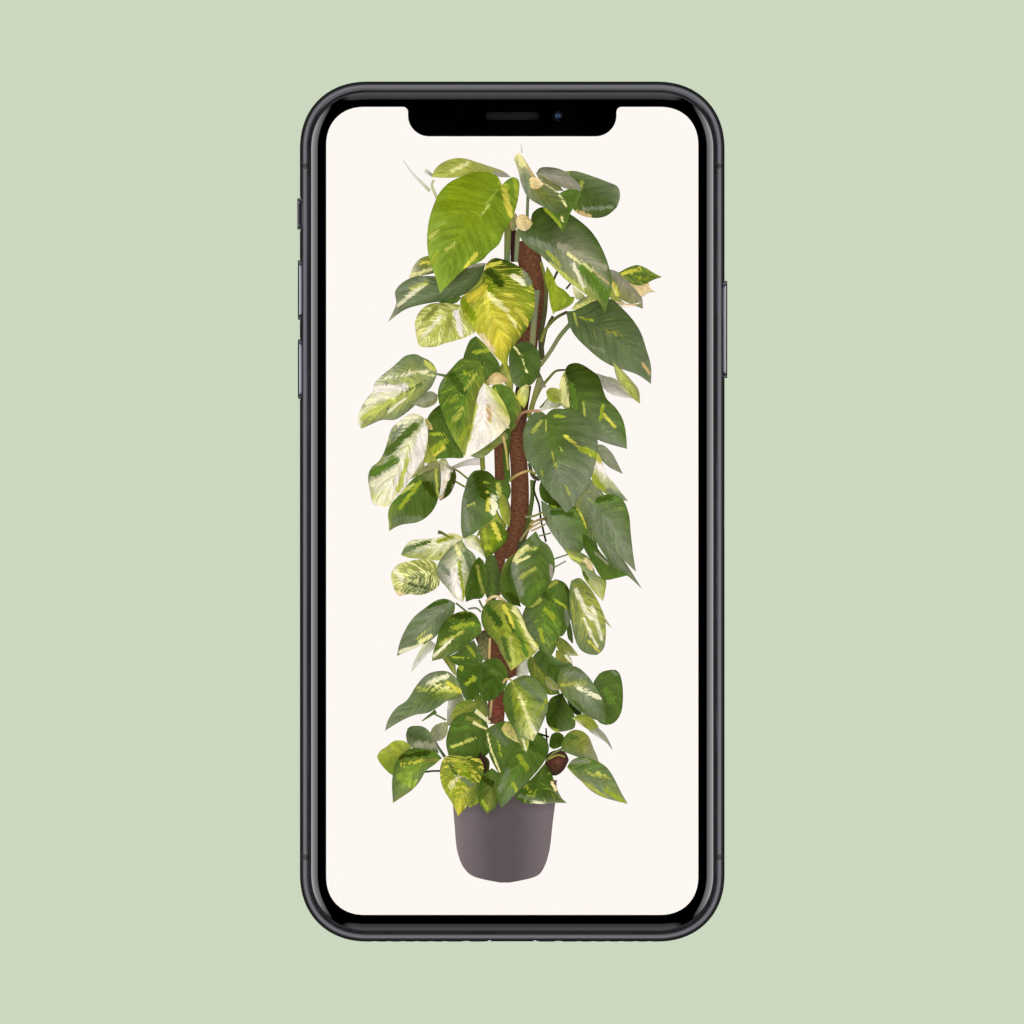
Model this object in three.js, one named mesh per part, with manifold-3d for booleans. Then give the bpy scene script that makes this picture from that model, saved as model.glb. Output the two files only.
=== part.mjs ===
// A smartphone with a notched, edge-to-edge screen, lying on its back with the screen up.
//
// Millimetres. +Z is up out of the screen, +Y towards the top end (the notch), +X towards the side button.
// The origin is under the middle of the phone, level with the rear camera rim, the lowest point of the back.
//
// The body is one rounded slab. The metal chassis is that slab hollowed into a tray. The cover glass and the back
// glass are slices of the same slab, so metal and glass follow one continuous curve round the edge.

import * as THREE from "three";
import { mergeVertices } from "three/addons/utils/BufferGeometryUtils.js";
import Module from "manifold-3d";

const wasm = await Module();
wasm.setup();

// ---------------------------------------------------------------- driving dimensions
const bodyWidth = 70.9;
const bodyLength = 143.6;
const bodyThickness = 7.7;
const cornerReach = 11.4; // how far along each side a corner's curve starts
const cornerPower = 2.2; // 2 is a plain circle; a little more eases the curve into the sides
const cameraStep = 1.2; // how far the rear camera rim stands out of the back glass

const screenWidth = 62.2; // lit area
const screenLength = 135;
const screenCornerReach = 6.5;
const notchWidth = 34.8;
const notchDepth = 4.95;
const notchCornerRadius = 3.5;
const notchShoulderRadius = 0.85;

const glassThickness = 0.75;
const glassInset = 1.8; // from the body's outline in to the glass's edge
const recessInset = 1.45; // from the body's outline in to the wall of the glass recess
const wallInset = 2.9; // from the body's outline in to the chassis's inner wall
const seamGap = 0.03; // between the gasket and its neighbours

// ---------------------------------------------------------------- levels worked out from them
const backZ = cameraStep;
const frontZ = cameraStep + bodyThickness;
const middleZ = (backZ + frontZ) / 2;
const sideX = bodyWidth / 2;
const endY = bodyLength / 2;
const glassUnderZ = frontZ - glassThickness;
const frontShelfZ = frontZ - 1.05;
const backShelfZ = backZ + 1.05;
const floorZ = backZ + 1.5; // top of the chassis's floor plate
const earpieceY = endY - 5.75; // earpiece slot and front camera lie on one line in the notch

// ---------------------------------------------------------------- solids
// A closed mesh as a solid, with its shared vertices merged.
function solid(geometry) {
  const bare = geometry.clone();
  bare.deleteAttribute("normal");
  bare.deleteAttribute("uv");
  const merged = mergeVertices(bare, 1e-4);
  return new wasm.Manifold(
    new wasm.Mesh({
      numProp: 3,
      vertProperties: merged.attributes.position.array,
      triVerts: new Uint32Array(merged.index.array),
    }),
  );
}

// A solid as a geometry.
function geometryOf(made) {
  const mesh = made.getMesh();
  const geometry = new THREE.BufferGeometry();
  geometry.setAttribute("position", new THREE.BufferAttribute(new Float32Array(mesh.vertProperties), 3));
  geometry.setIndex(new THREE.BufferAttribute(mesh.triVerts, 1));
  geometry.computeVertexNormals();
  return geometry;
}

const join = (first, ...others) => others.reduce((sum, other) => sum.add(other), first);
const cut = (first, ...others) => others.reduce((rest, other) => rest.subtract(other), first);

// ---------------------------------------------------------------- outlines
// A rectangle whose corners are superellipse quarters, each starting `reach` from the corner.
function softOutline(width, length, reach, steps = 8) {
  const shape = new THREE.Shape();
  const points = [];
  const quarter = (step) => (step / steps) * (Math.PI / 2);
  [
    [1, 1],
    [-1, 1],
    [-1, -1],
    [1, -1],
  ].forEach(([sx, sy], corner) => {
    for (let step = 0; step <= steps; step++) {
      const angle = quarter(corner % 2 ? steps - step : step);
      const across = reach * Math.cos(angle) ** (2 / cornerPower);
      const along = reach * Math.sin(angle) ** (2 / cornerPower);
      points.push(new THREE.Vector2(sx * (width / 2 - reach + across), sy * (length / 2 - reach + along)));
    }
  });
  return shape.setFromPoints(points);
}

// The body's outline moved in by `inset`.
const bodyOutline = (inset) =>
  softOutline(bodyWidth - 2 * inset, bodyLength - 2 * inset, cornerReach - inset);

// A rectangle with round corners. With half the width as its radius it is a stadium.
function roundedRectangle(width, length, radius) {
  const [x, y] = [width / 2, length / 2];
  const shape = new THREE.Shape();
  shape.moveTo(x, -y + radius);
  shape.lineTo(x, y - radius);
  shape.absarc(x - radius, y - radius, radius, 0, Math.PI / 2);
  shape.lineTo(-x + radius, y);
  shape.absarc(-x + radius, y - radius, radius, Math.PI / 2, Math.PI);
  shape.lineTo(-x, -y + radius);
  shape.absarc(-x + radius, -y + radius, radius, Math.PI, 1.5 * Math.PI);
  shape.lineTo(x - radius, -y);
  shape.absarc(x - radius, -y + radius, radius, 1.5 * Math.PI, 2 * Math.PI);
  return shape;
}

const stadium = (width, length) => roundedRectangle(width, length, Math.min(width, length) / 2);

// The lit area: soft corners, and a notch let into its top edge.
function screenOutline(grow = 0) {
  const whole = prism(
    softOutline(screenWidth + 2 * grow, screenLength + 2 * grow, screenCornerReach + grow),
    0,
    1,
  );
  const half = notchWidth / 2 - grow;
  const top = screenLength / 2 + grow;
  const foot = screenLength / 2 - notchDepth + grow;
  const shoulder = notchShoulderRadius;
  const notch = new THREE.Shape();
  notch.moveTo(half + shoulder, top + 1);
  notch.lineTo(half + shoulder, top);
  notch.absarc(half + shoulder, top - shoulder, shoulder, Math.PI / 2, Math.PI);
  notch.lineTo(half, foot + notchCornerRadius);
  notch.absarc(half - notchCornerRadius, foot + notchCornerRadius, notchCornerRadius, 0, -Math.PI / 2, true);
  notch.lineTo(notchCornerRadius - half, foot);
  notch.absarc(
    notchCornerRadius - half,
    foot + notchCornerRadius,
    notchCornerRadius,
    -Math.PI / 2,
    -Math.PI,
    true,
  );
  notch.lineTo(-half, top - shoulder);
  notch.absarc(-half - shoulder, top - shoulder, shoulder, 0, Math.PI / 2);
  notch.lineTo(-half - shoulder, top + 1);
  return cut(whole, prism(notch, -1, 2));
}

// ---------------------------------------------------------------- simple solids
const curveSegments = 4;

// A flat outline pulled up from one level to another, with an optional small bevel on both rims.
function prism(shape, fromZ, toZ, bevel = 0) {
  const geometry = new THREE.ExtrudeGeometry(shape, {
    depth: toZ - fromZ - 2 * bevel,
    bevelEnabled: bevel > 0,
    bevelThickness: bevel,
    bevelSize: bevel,
    bevelOffset: -bevel,
    bevelSegments: 1,
    curveSegments,
  });
  return solid(geometry.translate(0, 0, fromZ + bevel));
}

// A prism lying along X: the outline's width stands up along Z, its length runs along Y.
function sidePrism(shape, fromX, toX, y, z, bevel = 0) {
  const geometry = new THREE.ExtrudeGeometry(shape, {
    depth: toX - fromX - 2 * bevel,
    bevelEnabled: bevel > 0,
    bevelThickness: bevel,
    bevelSize: bevel,
    bevelOffset: -bevel,
    bevelSegments: 1,
    curveSegments,
  });
  geometry.rotateY(Math.PI / 2);
  return solid(geometry.translate(fromX + bevel, y, z));
}

// A prism lying along Y: the outline's width runs along X, its length stands up along Z.
function endPrism(shape, fromY, toY, x, z) {
  const geometry = new THREE.ExtrudeGeometry(shape, { depth: toY - fromY, bevelEnabled: false, curveSegments });
  geometry.rotateX(Math.PI / 2);
  return solid(geometry.translate(x, toY, z));
}

function box(low, high) {
  const size = high.map((value, k) => value - low[k]);
  const geometry = new THREE.BoxGeometry(...size);
  return solid(geometry.translate(...high.map((value, k) => (value + low[k]) / 2)));
}

// A disc or ring turned about a vertical axis. The profile is [radius, z] pairs.
function turned(profile, x, y, sides = 20) {
  const geometry = new THREE.LatheGeometry(
    profile.map(([radius, z]) => new THREE.Vector2(radius, z)),
    sides,
  );
  geometry.rotateX(Math.PI / 2);
  const made = solid(geometry.translate(x, y, 0));
  return made.volume() < 0 ? solid(geometry.scale(1, 1, 1)) : made;
}

// A plain round pin or drill lying along Y.
function endPin(radius, fromY, toY, x, z, sides = 10) {
  const geometry = new THREE.CylinderGeometry(radius, radius, toY - fromY, sides);
  return solid(geometry.translate(x, (fromY + toY) / 2, z));
}

// ---------------------------------------------------------------- the slab that metal and glass are cut from
// Its edge is a full half circle from the back to the front.
const edgeRadius = bodyThickness / 2;
const slabCore = 0.02; // flat strip left at the widest level
const slab = (() => {
  const geometry = new THREE.ExtrudeGeometry(bodyOutline(0), {
    depth: slabCore,
    bevelEnabled: true,
    bevelThickness: edgeRadius - slabCore / 2,
    bevelSize: edgeRadius,
    bevelOffset: -edgeRadius,
    bevelSegments: 7,
  });
  return solid(geometry.translate(0, 0, middleZ - slabCore / 2));
})();

// ---------------------------------------------------------------- buttons and their slots
const buttonWidth = 2.9; // across the edge
const buttonRunning = 0.12; // clearance between a button and its slot
const buttonStem = 1.6; // how far a button reaches into the body
const slotDepth = 2.15;

const volumeUp = { name: "volume_up_button", side: -1, y: 37.0, length: 10.2, proud: 0.35 };
const volumeDown = { name: "volume_down_button", side: -1, y: 23.8, length: 10.2, proud: 0.35 };
const sideKey = { name: "side_button", side: 1, y: 30.4, length: 16.5, proud: 0.45 };
const buttons = [volumeUp, volumeDown, sideKey];

// [from, to] along X for something that spans these depths in from the body's outline on one side.
const spanX = (side, outer, inner) =>
  side > 0 ? [sideX - inner, sideX - outer] : [-sideX + outer, -sideX + inner];

const buttonSolid = ({ side, y, length, proud }) =>
  sidePrism(stadium(buttonWidth, length), ...spanX(side, -proud, buttonStem), y, middleZ, 0.14);

const buttonSlot = ({ side, y, length }) =>
  sidePrism(
    stadium(buttonWidth + 2 * buttonRunning, length + 2 * buttonRunning),
    ...spanX(side, -1, slotDepth),
    y,
    middleZ,
  );

// The ring switch: a short slider in a taller slot, with a bright marker on the slot's floor behind it.
const ringSwitch = { side: -1, y: 49.7, length: 5.5, width: 1.9, proud: 0.45, travel: 1.0, stem: 1.75 };
const ringSlotWidth = ringSwitch.width + ringSwitch.travel + 2 * buttonRunning;
const ringSwitchZ = middleZ + ringSwitch.travel / 2; // it rests towards the screen

const ringSwitchSolid = sidePrism(
  stadium(ringSwitch.width, ringSwitch.length),
  ...spanX(ringSwitch.side, -ringSwitch.proud, ringSwitch.stem),
  ringSwitch.y,
  ringSwitchZ,
  0.14,
);
const ringSlot = sidePrism(
  roundedRectangle(ringSlotWidth, ringSwitch.length + 2 * buttonRunning, ringSwitch.width / 2 + buttonRunning),
  ...spanX(ringSwitch.side, -1, slotDepth),
  ringSwitch.y,
  middleZ,
);
const ringMarker = (() => {
  const [fromX, toX] = spanX(ringSwitch.side, slotDepth - 0.16, slotDepth - 0.02);
  return box(
    [fromX, ringSwitch.y - 2.1, middleZ + 0.35],
    [toX, ringSwitch.y + 2.1, middleZ + ringSlotWidth / 2 - 0.15],
  );
})();

// ---------------------------------------------------------------- card tray
const tray = { y: 4, faceLength: 15, faceWidth: 1.7, faceDepth: 1.0, plateLength: 14.2, plateWidth: 0.9 };
const trayEndX = sideX - 14.6; // how far in the plate reaches
const trayRunning = 0.12;
const trayHoleRadius = 0.45;
const trayHoleY = tray.y - tray.faceLength / 2 + 1.3;

const trayBore = (fromX, toX, radius) => {
  const geometry = new THREE.CylinderGeometry(radius, radius, toX - fromX, 10);
  geometry.rotateZ(Math.PI / 2);
  return solid(geometry.translate((fromX + toX) / 2, trayHoleY, middleZ));
};

const traySolid = (() => {
  const face = slab.intersect(
    sidePrism(
      stadium(tray.faceWidth, tray.faceLength),
      ...spanX(1, -1, tray.faceDepth),
      tray.y,
      middleZ,
    ),
  );
  const halfLength = tray.plateLength / 2;
  const halfWidth = tray.plateWidth / 2;
  const plate = box(
    [trayEndX, tray.y - halfLength, middleZ - halfWidth],
    [sideX - tray.faceDepth + 0.3, tray.y + halfLength, middleZ + halfWidth],
  );
  const cardWindow = box(
    [trayEndX + 1.6, tray.y - 6.15, middleZ - 1],
    [trayEndX + 10.4, tray.y + 6.15, middleZ + 1],
  );
  return cut(join(face, plate), cardWindow, trayBore(sideX - 1.4, sideX + 1, trayHoleRadius));
})();

const traySlot = join(
  sidePrism(
    stadium(tray.faceWidth + 2 * trayRunning, tray.faceLength + 2 * trayRunning),
    ...spanX(1, -1, tray.faceDepth + trayRunning),
    tray.y,
    middleZ,
  ),
  sidePrism(
    roundedRectangle(tray.plateWidth + 2 * trayRunning, tray.plateLength + 2 * trayRunning, 0.2),
    ...spanX(1, 0.5, wallInset + 0.5),
    tray.y,
    middleZ,
  ),
);

// ---------------------------------------------------------------- antenna inserts
// Plastic bars let into the metal edge, two on each long side.
const antennaY = 57.7;
const antennaWidth = 0.9;
const antennaGap = 0.04;
const antennas = [
  { name: "antenna_insert_left_upper", side: -1, y: antennaY },
  { name: "antenna_insert_left_lower", side: -1, y: -antennaY },
  { name: "antenna_insert_right_upper", side: 1, y: antennaY },
  { name: "antenna_insert_right_lower", side: 1, y: -antennaY },
];

function antennaBar({ side, y }, depth, width) {
  const [fromX, toX] = spanX(side, -1, depth);
  return box([fromX, y - width / 2, backZ], [toX, y + width / 2, frontZ]);
}

const antennaSolid = (place) => slab.intersect(antennaBar(place, recessInset - antennaGap, antennaWidth));
const antennaNotch = (place) => antennaBar(place, recessInset + antennaGap, antennaWidth + 2 * antennaGap);

// ---------------------------------------------------------------- bottom edge: port, screws, sound holes
const port = { outerWidth: 9.1, outerHeight: 3.3, wall: 0.3, mouthY: -endY + 0.3, backY: -endY + 7.4 };
const portFit = 0.1;

const portShell = cut(
  endPrism(stadium(port.outerWidth, port.outerHeight), port.mouthY, port.backY, 0, middleZ),
  endPrism(
    stadium(port.outerWidth - 2 * port.wall, port.outerHeight - 2 * port.wall),
    port.mouthY - 1,
    port.backY - 0.4,
    0,
    middleZ,
  ),
);
const portTongue = endPrism(
  roundedRectangle(6.7, 0.7, 0.2),
  port.mouthY + 0.5,
  port.backY - 0.45,
  0,
  middleZ,
);
const portHole = endPrism(
  stadium(port.outerWidth + 2 * portFit, port.outerHeight + 2 * portFit),
  -endY - 1,
  -endY + wallInset + 0.5,
  0,
  middleZ,
);

const screwX = 7.7;
const screwHeadRadius = 0.8;
const soundHoleRadius = 0.72;
const soundHolePitch = 2.35;
const firstSoundHoleX = 11.2;
const soundHolesPerSide = 6;

const screwSolid = (x) =>
  cut(
    join(
      endPin(screwHeadRadius, -endY + 0.2, -endY + 1.0, x, middleZ, 12),
      endPin(0.5, -endY + 0.9, -endY + 2.8, x, middleZ, 12),
    ),
    endPin(0.42, -endY, -endY + 0.65, x, middleZ, 5),
  );
const screwHole = (x) =>
  join(
    endPin(screwHeadRadius + 0.1, -endY - 1, -endY + 1.05, x, middleZ, 12),
    endPin(0.6, -endY + 1, -endY + wallInset + 0.3, x, middleZ, 12),
  );

const soundHoles = [];
for (const side of [-1, 1]) {
  for (let k = 0; k < soundHolesPerSide; k++) {
    const x = side * (firstSoundHoleX + k * soundHolePitch);
    soundHoles.push(endPin(soundHoleRadius, -endY - 1, -endY + wallInset + 0.3, x, middleZ));
  }
}

// ---------------------------------------------------------------- rear camera
const camera = { y: 55.5, width: 27.4, height: 12.8, wall: 1.2 };
const lensX = 8.1;
const lensRadius = 3.4;
const at = (made, x, y) => made.translate([x, y, 0]);
const cameraPill = (inset, fromZ, toZ, bevel = 0) =>
  at(prism(stadium(camera.width - 2 * inset, camera.height - 2 * inset), fromZ, toZ, bevel), 0, camera.y);

const cameraRim = cut(cameraPill(0, 0, backShelfZ - 0.05, 0.3), cameraPill(camera.wall, -1, 4));
const cameraWindow = cameraPill(camera.wall + 0.08, 0.2, 0.8);
const cameraDeck = cut(
  cameraPill(camera.wall + 0.08, 0.85, backShelfZ - 0.05),
  ...[-lensX, lensX].map((x) => turned([[0, 0], [lensRadius + 0.1, 0], [lensRadius + 0.1, 3], [0, 3]], x, camera.y)),
  turned([[0, 0], [2.3, 0], [2.3, 3], [0, 3]], 0, camera.y),
);
// A barrel that steps in towards a small domed front element.
const lensBarrel = (x) =>
  turned(
    [
      [0, 1.55],
      [0.9, 1.62],
      [1.6, 1.85],
      [1.7, 1.4],
      [2.5, 1.3],
      [2.6, 1.0],
      [lensRadius, 0.88],
      [lensRadius, 3.6],
      [0, 3.6],
    ],
    x,
    camera.y,
    24,
  );
const flashLamp = turned([[0, 0.9], [2.2, 0.9], [2.2, 1.7], [0, 1.7]], 0, camera.y);
const cameraCutOut = cameraPill(-0.15, -1, backShelfZ + 0.001);
const cameraFloorHole = at(prism(stadium(23.4, 8.4), backShelfZ - 1, floorZ + 0.5), 0, camera.y);
const cameraModule = box([-12, camera.y - 5.2, 3.65], [12, camera.y + 5.2, frontShelfZ - 1.4]);

// ---------------------------------------------------------------- chassis
const coilRadius = 20.5;
const coilHole = turned([[0, 0], [coilRadius + 0.3, 0], [coilRadius + 0.3, 4], [0, 4]], 0, -6, 32);

const chassisSolid = cut(
  slab,
  prism(bodyOutline(recessInset), frontShelfZ, frontZ + 1), // recess for the cover glass
  prism(bodyOutline(recessInset), backZ - 1, backShelfZ), // recess for the back glass
  prism(bodyOutline(wallInset), floorZ, frontZ + 1), // the hollow
  coilHole,
  cameraFloorHole,
  ...buttons.map(buttonSlot),
  ringSlot,
  traySlot,
  ...antennas.map(antennaNotch),
  portHole,
  screwHole(-screwX),
  screwHole(screwX),
  ...soundHoles,
);

// ---------------------------------------------------------------- glass, gaskets, screen
const gasket = (fromZ, toZ) =>
  cut(
    prism(bodyOutline(recessInset + seamGap), fromZ, toZ),
    prism(bodyOutline(wallInset - seamGap), fromZ - 1, toZ + 1),
  );
const frontGasket = gasket(frontShelfZ + seamGap, glassUnderZ - seamGap);
const backGasket = gasket(backZ + glassThickness + seamGap, backShelfZ - seamGap);

const earpieceSlot = at(prism(stadium(9.1, 1.3), glassUnderZ - 2, frontZ + 1), 0, earpieceY);
const coverGlass = cut(slab.intersect(prism(bodyOutline(glassInset), glassUnderZ, frontZ + 1)), earpieceSlot);
const backGlass = cut(
  slab.intersect(prism(bodyOutline(glassInset), backZ - 1, backZ + glassThickness)),
  cameraCutOut,
);

const frontCameraX = 7.65;
const filmTopZ = glassUnderZ - 0.02;
const filmUnderZ = glassUnderZ - 0.1;
const borderFilm = cut(
  prism(bodyOutline(wallInset + seamGap), filmUnderZ, filmTopZ),
  screenOutline().scale([1, 1, 4]).translate([0, 0, filmUnderZ - 2]),
  earpieceSlot,
  turned([[0, 0], [1.3, 0], [1.3, 12], [0, 12]], frontCameraX, earpieceY, 16),
);
const panelTopZ = filmUnderZ - 0.02;
const panelThickness = 0.88;
const screenPanel = screenOutline(0.5)
  .scale([1, 1, panelThickness])
  .translate([0, 0, panelTopZ - panelThickness]);
const screenPlate = cut(
  prism(bodyOutline(wallInset + 0.3), panelTopZ - panelThickness - 0.22, panelTopZ - panelThickness - 0.02),
  box([-notchWidth / 2, screenLength / 2 - notchDepth, 0], [notchWidth / 2, endY, frontZ]),
);
const underScreenZ = panelTopZ - panelThickness - 0.3; // everything in the tray stays under this

// ---------------------------------------------------------------- notch: earpiece, front camera, sensors
const earpieceMesh = at(prism(stadium(8.9, 1.1), glassUnderZ, glassUnderZ + 0.2), 0, earpieceY);
const earpieceModule = box([-7.2, earpieceY - 2.3, 4.4], [4.9, earpieceY + 2.3, filmUnderZ - 0.1]);
const frontCamera = cut(
  join(
    box([5.2, earpieceY - 2.5, 4.4], [10.1, earpieceY + 2.5, 6.6]),
    turned([[0, 6.5], [1.9, 6.5], [1.9, filmUnderZ - 0.05], [0, filmUnderZ - 0.05]], frontCameraX, earpieceY),
  ),
  turned([[0, 7.5], [0.6, 7.45], [1.25, filmUnderZ + 1], [0, filmUnderZ + 1]], frontCameraX, earpieceY),
);
const lightSensor = box([-14.5, earpieceY - 2.1, 5.2], [-8, earpieceY + 2.1, filmUnderZ - 0.1]);

// ---------------------------------------------------------------- what fills the tray
const restZ = floorZ + 0.1;
const battery = at(prism(roundedRectangle(40.8, 88, 2), restZ, underScreenZ - 0.2), -11.1, -2);
const logicBoard = join(
  box([10.6, -46, restZ], [31.9, 42, restZ + 0.8]),
  box([11.6, 14, restZ + 0.7], [31, 41, restZ + 3.1]),
  box([11.6, -44.5, restZ + 0.7], [31, -6, restZ + 2.9]),
);
const cardReader = box([20.2, tray.y - 7.3, restZ + 0.85], [31.8, tray.y + 7.3, middleZ - tray.plateWidth / 2 - 0.1]);
const hapticMotor = at(prism(roundedRectangle(22, 9.4, 1), restZ, underScreenZ - 0.8), -18.5, -59);
const loudspeaker = at(prism(roundedRectangle(21, 15, 1.5), restZ, underScreenZ - 0.6), 19.3, -58.7);
const chargingCoil = turned(
  [
    [10, backZ + glassThickness + 0.05],
    [coilRadius, backZ + glassThickness + 0.05],
    [coilRadius, floorZ],
    [10, floorZ],
    [10, backZ + glassThickness + 0.05],
  ],
  0,
  -6,
  32,
);

// ---------------------------------------------------------------- colours
const finish = (color, roughness, metalness) => new THREE.MeshStandardMaterial({ color, roughness, metalness });
const steel = finish("#45454a", 0.32, 1);
const keySteel = finish("#55555b", 0.3, 1);
const insertPlastic = finish("#2b2c2e", 0.6, 0);
const gasketPlastic = finish("#0b0b0c", 0.6, 0);
const blackPlastic = finish("#141416", 0.6, 0);
const ink = finish("#030303", 0.5, 0);
const clearGlass = finish("#e9eef0", 0.03, 0);
const backGlassFinish = finish("#1b1c1f", 0.06, 0);
const panelFinish = finish("#fbf6f1", 0.3, 0);
const lensGlass = finish("#10141c", 0.05, 0);
const markerOrange = finish("#e06a26", 0.5, 0);
const foil = finish("#202124", 0.5, 0.2);
const board = finish("#1e3a2a", 0.6, 0);
const bareSteel = finish("#9a9a9c", 0.4, 1);
const copper = finish("#a8683a", 0.4, 1);
const milkyPlastic = finish("#f3ecc8", 0.4, 0);

// ---------------------------------------------------------------- the phone
const phone = new THREE.Group();
phone.name = "smartphone";

function add(name, made, material) {
  const mesh = new THREE.Mesh(geometryOf(made), material);
  mesh.name = name;
  phone.add(mesh);
}

add("chassis", chassisSolid, steel);
for (const place of antennas) add(place.name, antennaSolid(place), insertPlastic);
add("cover_glass", coverGlass, clearGlass);
add("front_gasket", frontGasket, gasketPlastic);
add("border_film", borderFilm, ink);
add("screen_panel", screenPanel, panelFinish);
add("screen_plate", screenPlate, bareSteel);
add("back_glass", backGlass, backGlassFinish);
add("back_gasket", backGasket, gasketPlastic);

add("earpiece_mesh", earpieceMesh, bareSteel);
add("earpiece_module", earpieceModule, blackPlastic);
add("front_camera", frontCamera, lensGlass);
add("light_sensor", lightSensor, blackPlastic);

for (const place of buttons) add(place.name, buttonSolid(place), keySteel);
add("ring_switch", ringSwitchSolid, keySteel);
add("ring_switch_marker", ringMarker, markerOrange);
add("card_tray", traySolid, keySteel);
add("card_reader", cardReader, bareSteel);

add("charge_port_shell", portShell, bareSteel);
add("charge_port_tongue", portTongue, blackPlastic);
add("bottom_screw_left", screwSolid(-screwX), bareSteel);
add("bottom_screw_right", screwSolid(screwX), bareSteel);

add("rear_camera_rim", cameraRim, keySteel);
add("rear_camera_window", cameraWindow, clearGlass);
add("rear_camera_deck", cameraDeck, blackPlastic);
add("rear_lens_left", lensBarrel(-lensX), lensGlass);
add("rear_lens_right", lensBarrel(lensX), lensGlass);
add("flash_lamp", flashLamp, milkyPlastic);
add("rear_camera_module", cameraModule, blackPlastic);

add("battery", battery, foil);
add("logic_board", logicBoard, board);
add("haptic_motor", hapticMotor, bareSteel);
add("loudspeaker", loudspeaker, blackPlastic);
add("charging_coil", chargingCoil, copper);

export default phone;
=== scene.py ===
import math
import bpy
import bmesh
from mathutils import Matrix, Vector
from mathutils.bvhtree import BVHTree
from mathutils.geometry import interpolate_bezier


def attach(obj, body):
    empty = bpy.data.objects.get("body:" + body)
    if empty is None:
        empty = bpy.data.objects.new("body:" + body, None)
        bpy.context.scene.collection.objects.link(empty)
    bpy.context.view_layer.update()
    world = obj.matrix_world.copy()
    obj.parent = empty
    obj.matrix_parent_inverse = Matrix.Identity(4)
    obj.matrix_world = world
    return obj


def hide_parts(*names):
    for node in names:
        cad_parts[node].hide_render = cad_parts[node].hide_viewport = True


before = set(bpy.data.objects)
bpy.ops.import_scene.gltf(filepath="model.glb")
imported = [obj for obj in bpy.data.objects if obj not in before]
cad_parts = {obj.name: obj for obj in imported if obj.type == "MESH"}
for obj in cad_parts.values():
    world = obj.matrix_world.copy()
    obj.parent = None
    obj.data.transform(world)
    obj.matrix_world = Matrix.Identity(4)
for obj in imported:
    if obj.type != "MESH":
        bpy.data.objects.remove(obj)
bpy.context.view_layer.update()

mm = 0.001
body = "phone_body"
merge = dict(outline=1e-7, skin=1e-8, piece=2e-7)  # points closer than this, in metres, are one


def linearColour(code):
    # an sRGB hex colour in linear light, by the standard's own curve
    channels = [int(code[place:place + 2], 16) / 255 for place in (1, 3, 5)]
    return [c / 12.92 if c <= 0.04045 else ((c + 0.055) / 1.055) ** 2.4 for c in channels] + [1.0]


def addNode(tree, kind, inputs=None, **settings):
    # an input is a value, a socket, or a node whose first output is meant
    node = tree.nodes.new("ShaderNode" + kind)
    for name, value in settings.items():
        setattr(node, name, value)
    for socket, source in (inputs or {}).items():
        if isinstance(source, bpy.types.Node):
            source = source.outputs[0]
        if isinstance(source, bpy.types.NodeSocket):
            tree.links.new(source, node.inputs[socket])
        else:
            node.inputs[socket].default_value = source
    return node


# outlines and solids: lengths are in millimetres until they reach a vertex
phone = dict(
    width=70.9, length=143.6, thickness=7.7,
    cameraStep=1.2,  # the rear camera's rim holds the back this far off the table
    cornerReach=11.4, cornerProfile=0.5325,  # a corner a little squarer than a circle
    recessInset=1.45, glassInset=1.8, wallInset=2.9, glassThickness=0.75, shelfDepth=1.05,
)
edgeRadius = phone["thickness"] / 2
backZ = phone["cameraStep"]
frontZ = backZ + phone["thickness"]
middleZ = (backZ + frontZ) / 2
sideX = phone["width"] / 2
endY = phone["length"] / 2


def roundedFace(bm, width, length, reach, z=0.0, profile=0.5, segments=24, at=(0, 0)):
    # a flat rectangle with rounded corners; each arc stops a hair short, so that two can meet in one point
    corners = bmesh.ops.create_grid(bm, x_segments=1, y_segments=1, size=0.5 * mm)["verts"]
    bmesh.ops.scale(bm, verts=corners, vec=(width, length, 1))
    bmesh.ops.translate(bm, verts=corners, vec=Vector((*at, z)) * mm)
    outline = bmesh.ops.bevel(
        bm, geom=corners, affect="VERTICES", offset=reach * mm * 0.99999, segments=segments,
        profile=profile, material=-1, clamp_overlap=True,
    )["verts"]
    bmesh.ops.remove_doubles(bm, verts=outline, dist=merge["outline"])
    left = next(vert for vert in outline if vert.is_valid)
    return max(left.link_faces, key=lambda face: len(face.verts))


def bodyFace(bm, inset, z):
    # the phone's own outline, a distance within its widest edge
    return roundedFace(
        bm, phone["width"] - 2 * inset, phone["length"] - 2 * inset, phone["cornerReach"] - inset, z,
        phone["cornerProfile"],
    )


def bodyLoop(bm, inset, z):
    face = bodyFace(bm, inset, z)
    edges = list(face.edges)
    bmesh.ops.delete(bm, geom=[face], context="FACES_ONLY")
    return edges


def edgePoint(angle):
    # on the body's rounded edge, 0 faces up and a half turn faces down: inset and height
    return edgeRadius * (1 - math.sin(angle)), middleZ + edgeRadius * math.cos(angle)


def edgeAngle(inset):
    return math.asin((edgeRadius - inset) / edgeRadius)


def liftFace(bm, face, height):
    raised = bmesh.ops.extrude_face_region(bm, geom=[face])["geom"]
    corners = [item for item in raised if isinstance(item, bmesh.types.BMVert)]
    bmesh.ops.translate(bm, verts=corners, vec=(0, 0, height * mm))
    return next(item for item in raised if isinstance(item, bmesh.types.BMFace))


def roundRim(bm, face, radius, steps=4):
    bmesh.ops.bevel(
        bm, geom=list(face.edges), affect="EDGES", offset=radius * mm, segments=steps, profile=0.5,
        material=-1, clamp_overlap=True,
    )


def addTo(bm, drawn, place=Matrix()):
    # moves a drawn solid into place and joins it to the others, without cutting
    bmesh.ops.transform(drawn, matrix=place, verts=drawn.verts)
    bmesh.ops.recalc_face_normals(drawn, faces=drawn.faces)
    mesh = bpy.data.meshes.new("drawn")
    drawn.to_mesh(mesh)
    drawn.free()
    bm.from_mesh(mesh)
    bpy.data.meshes.remove(mesh)


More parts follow.
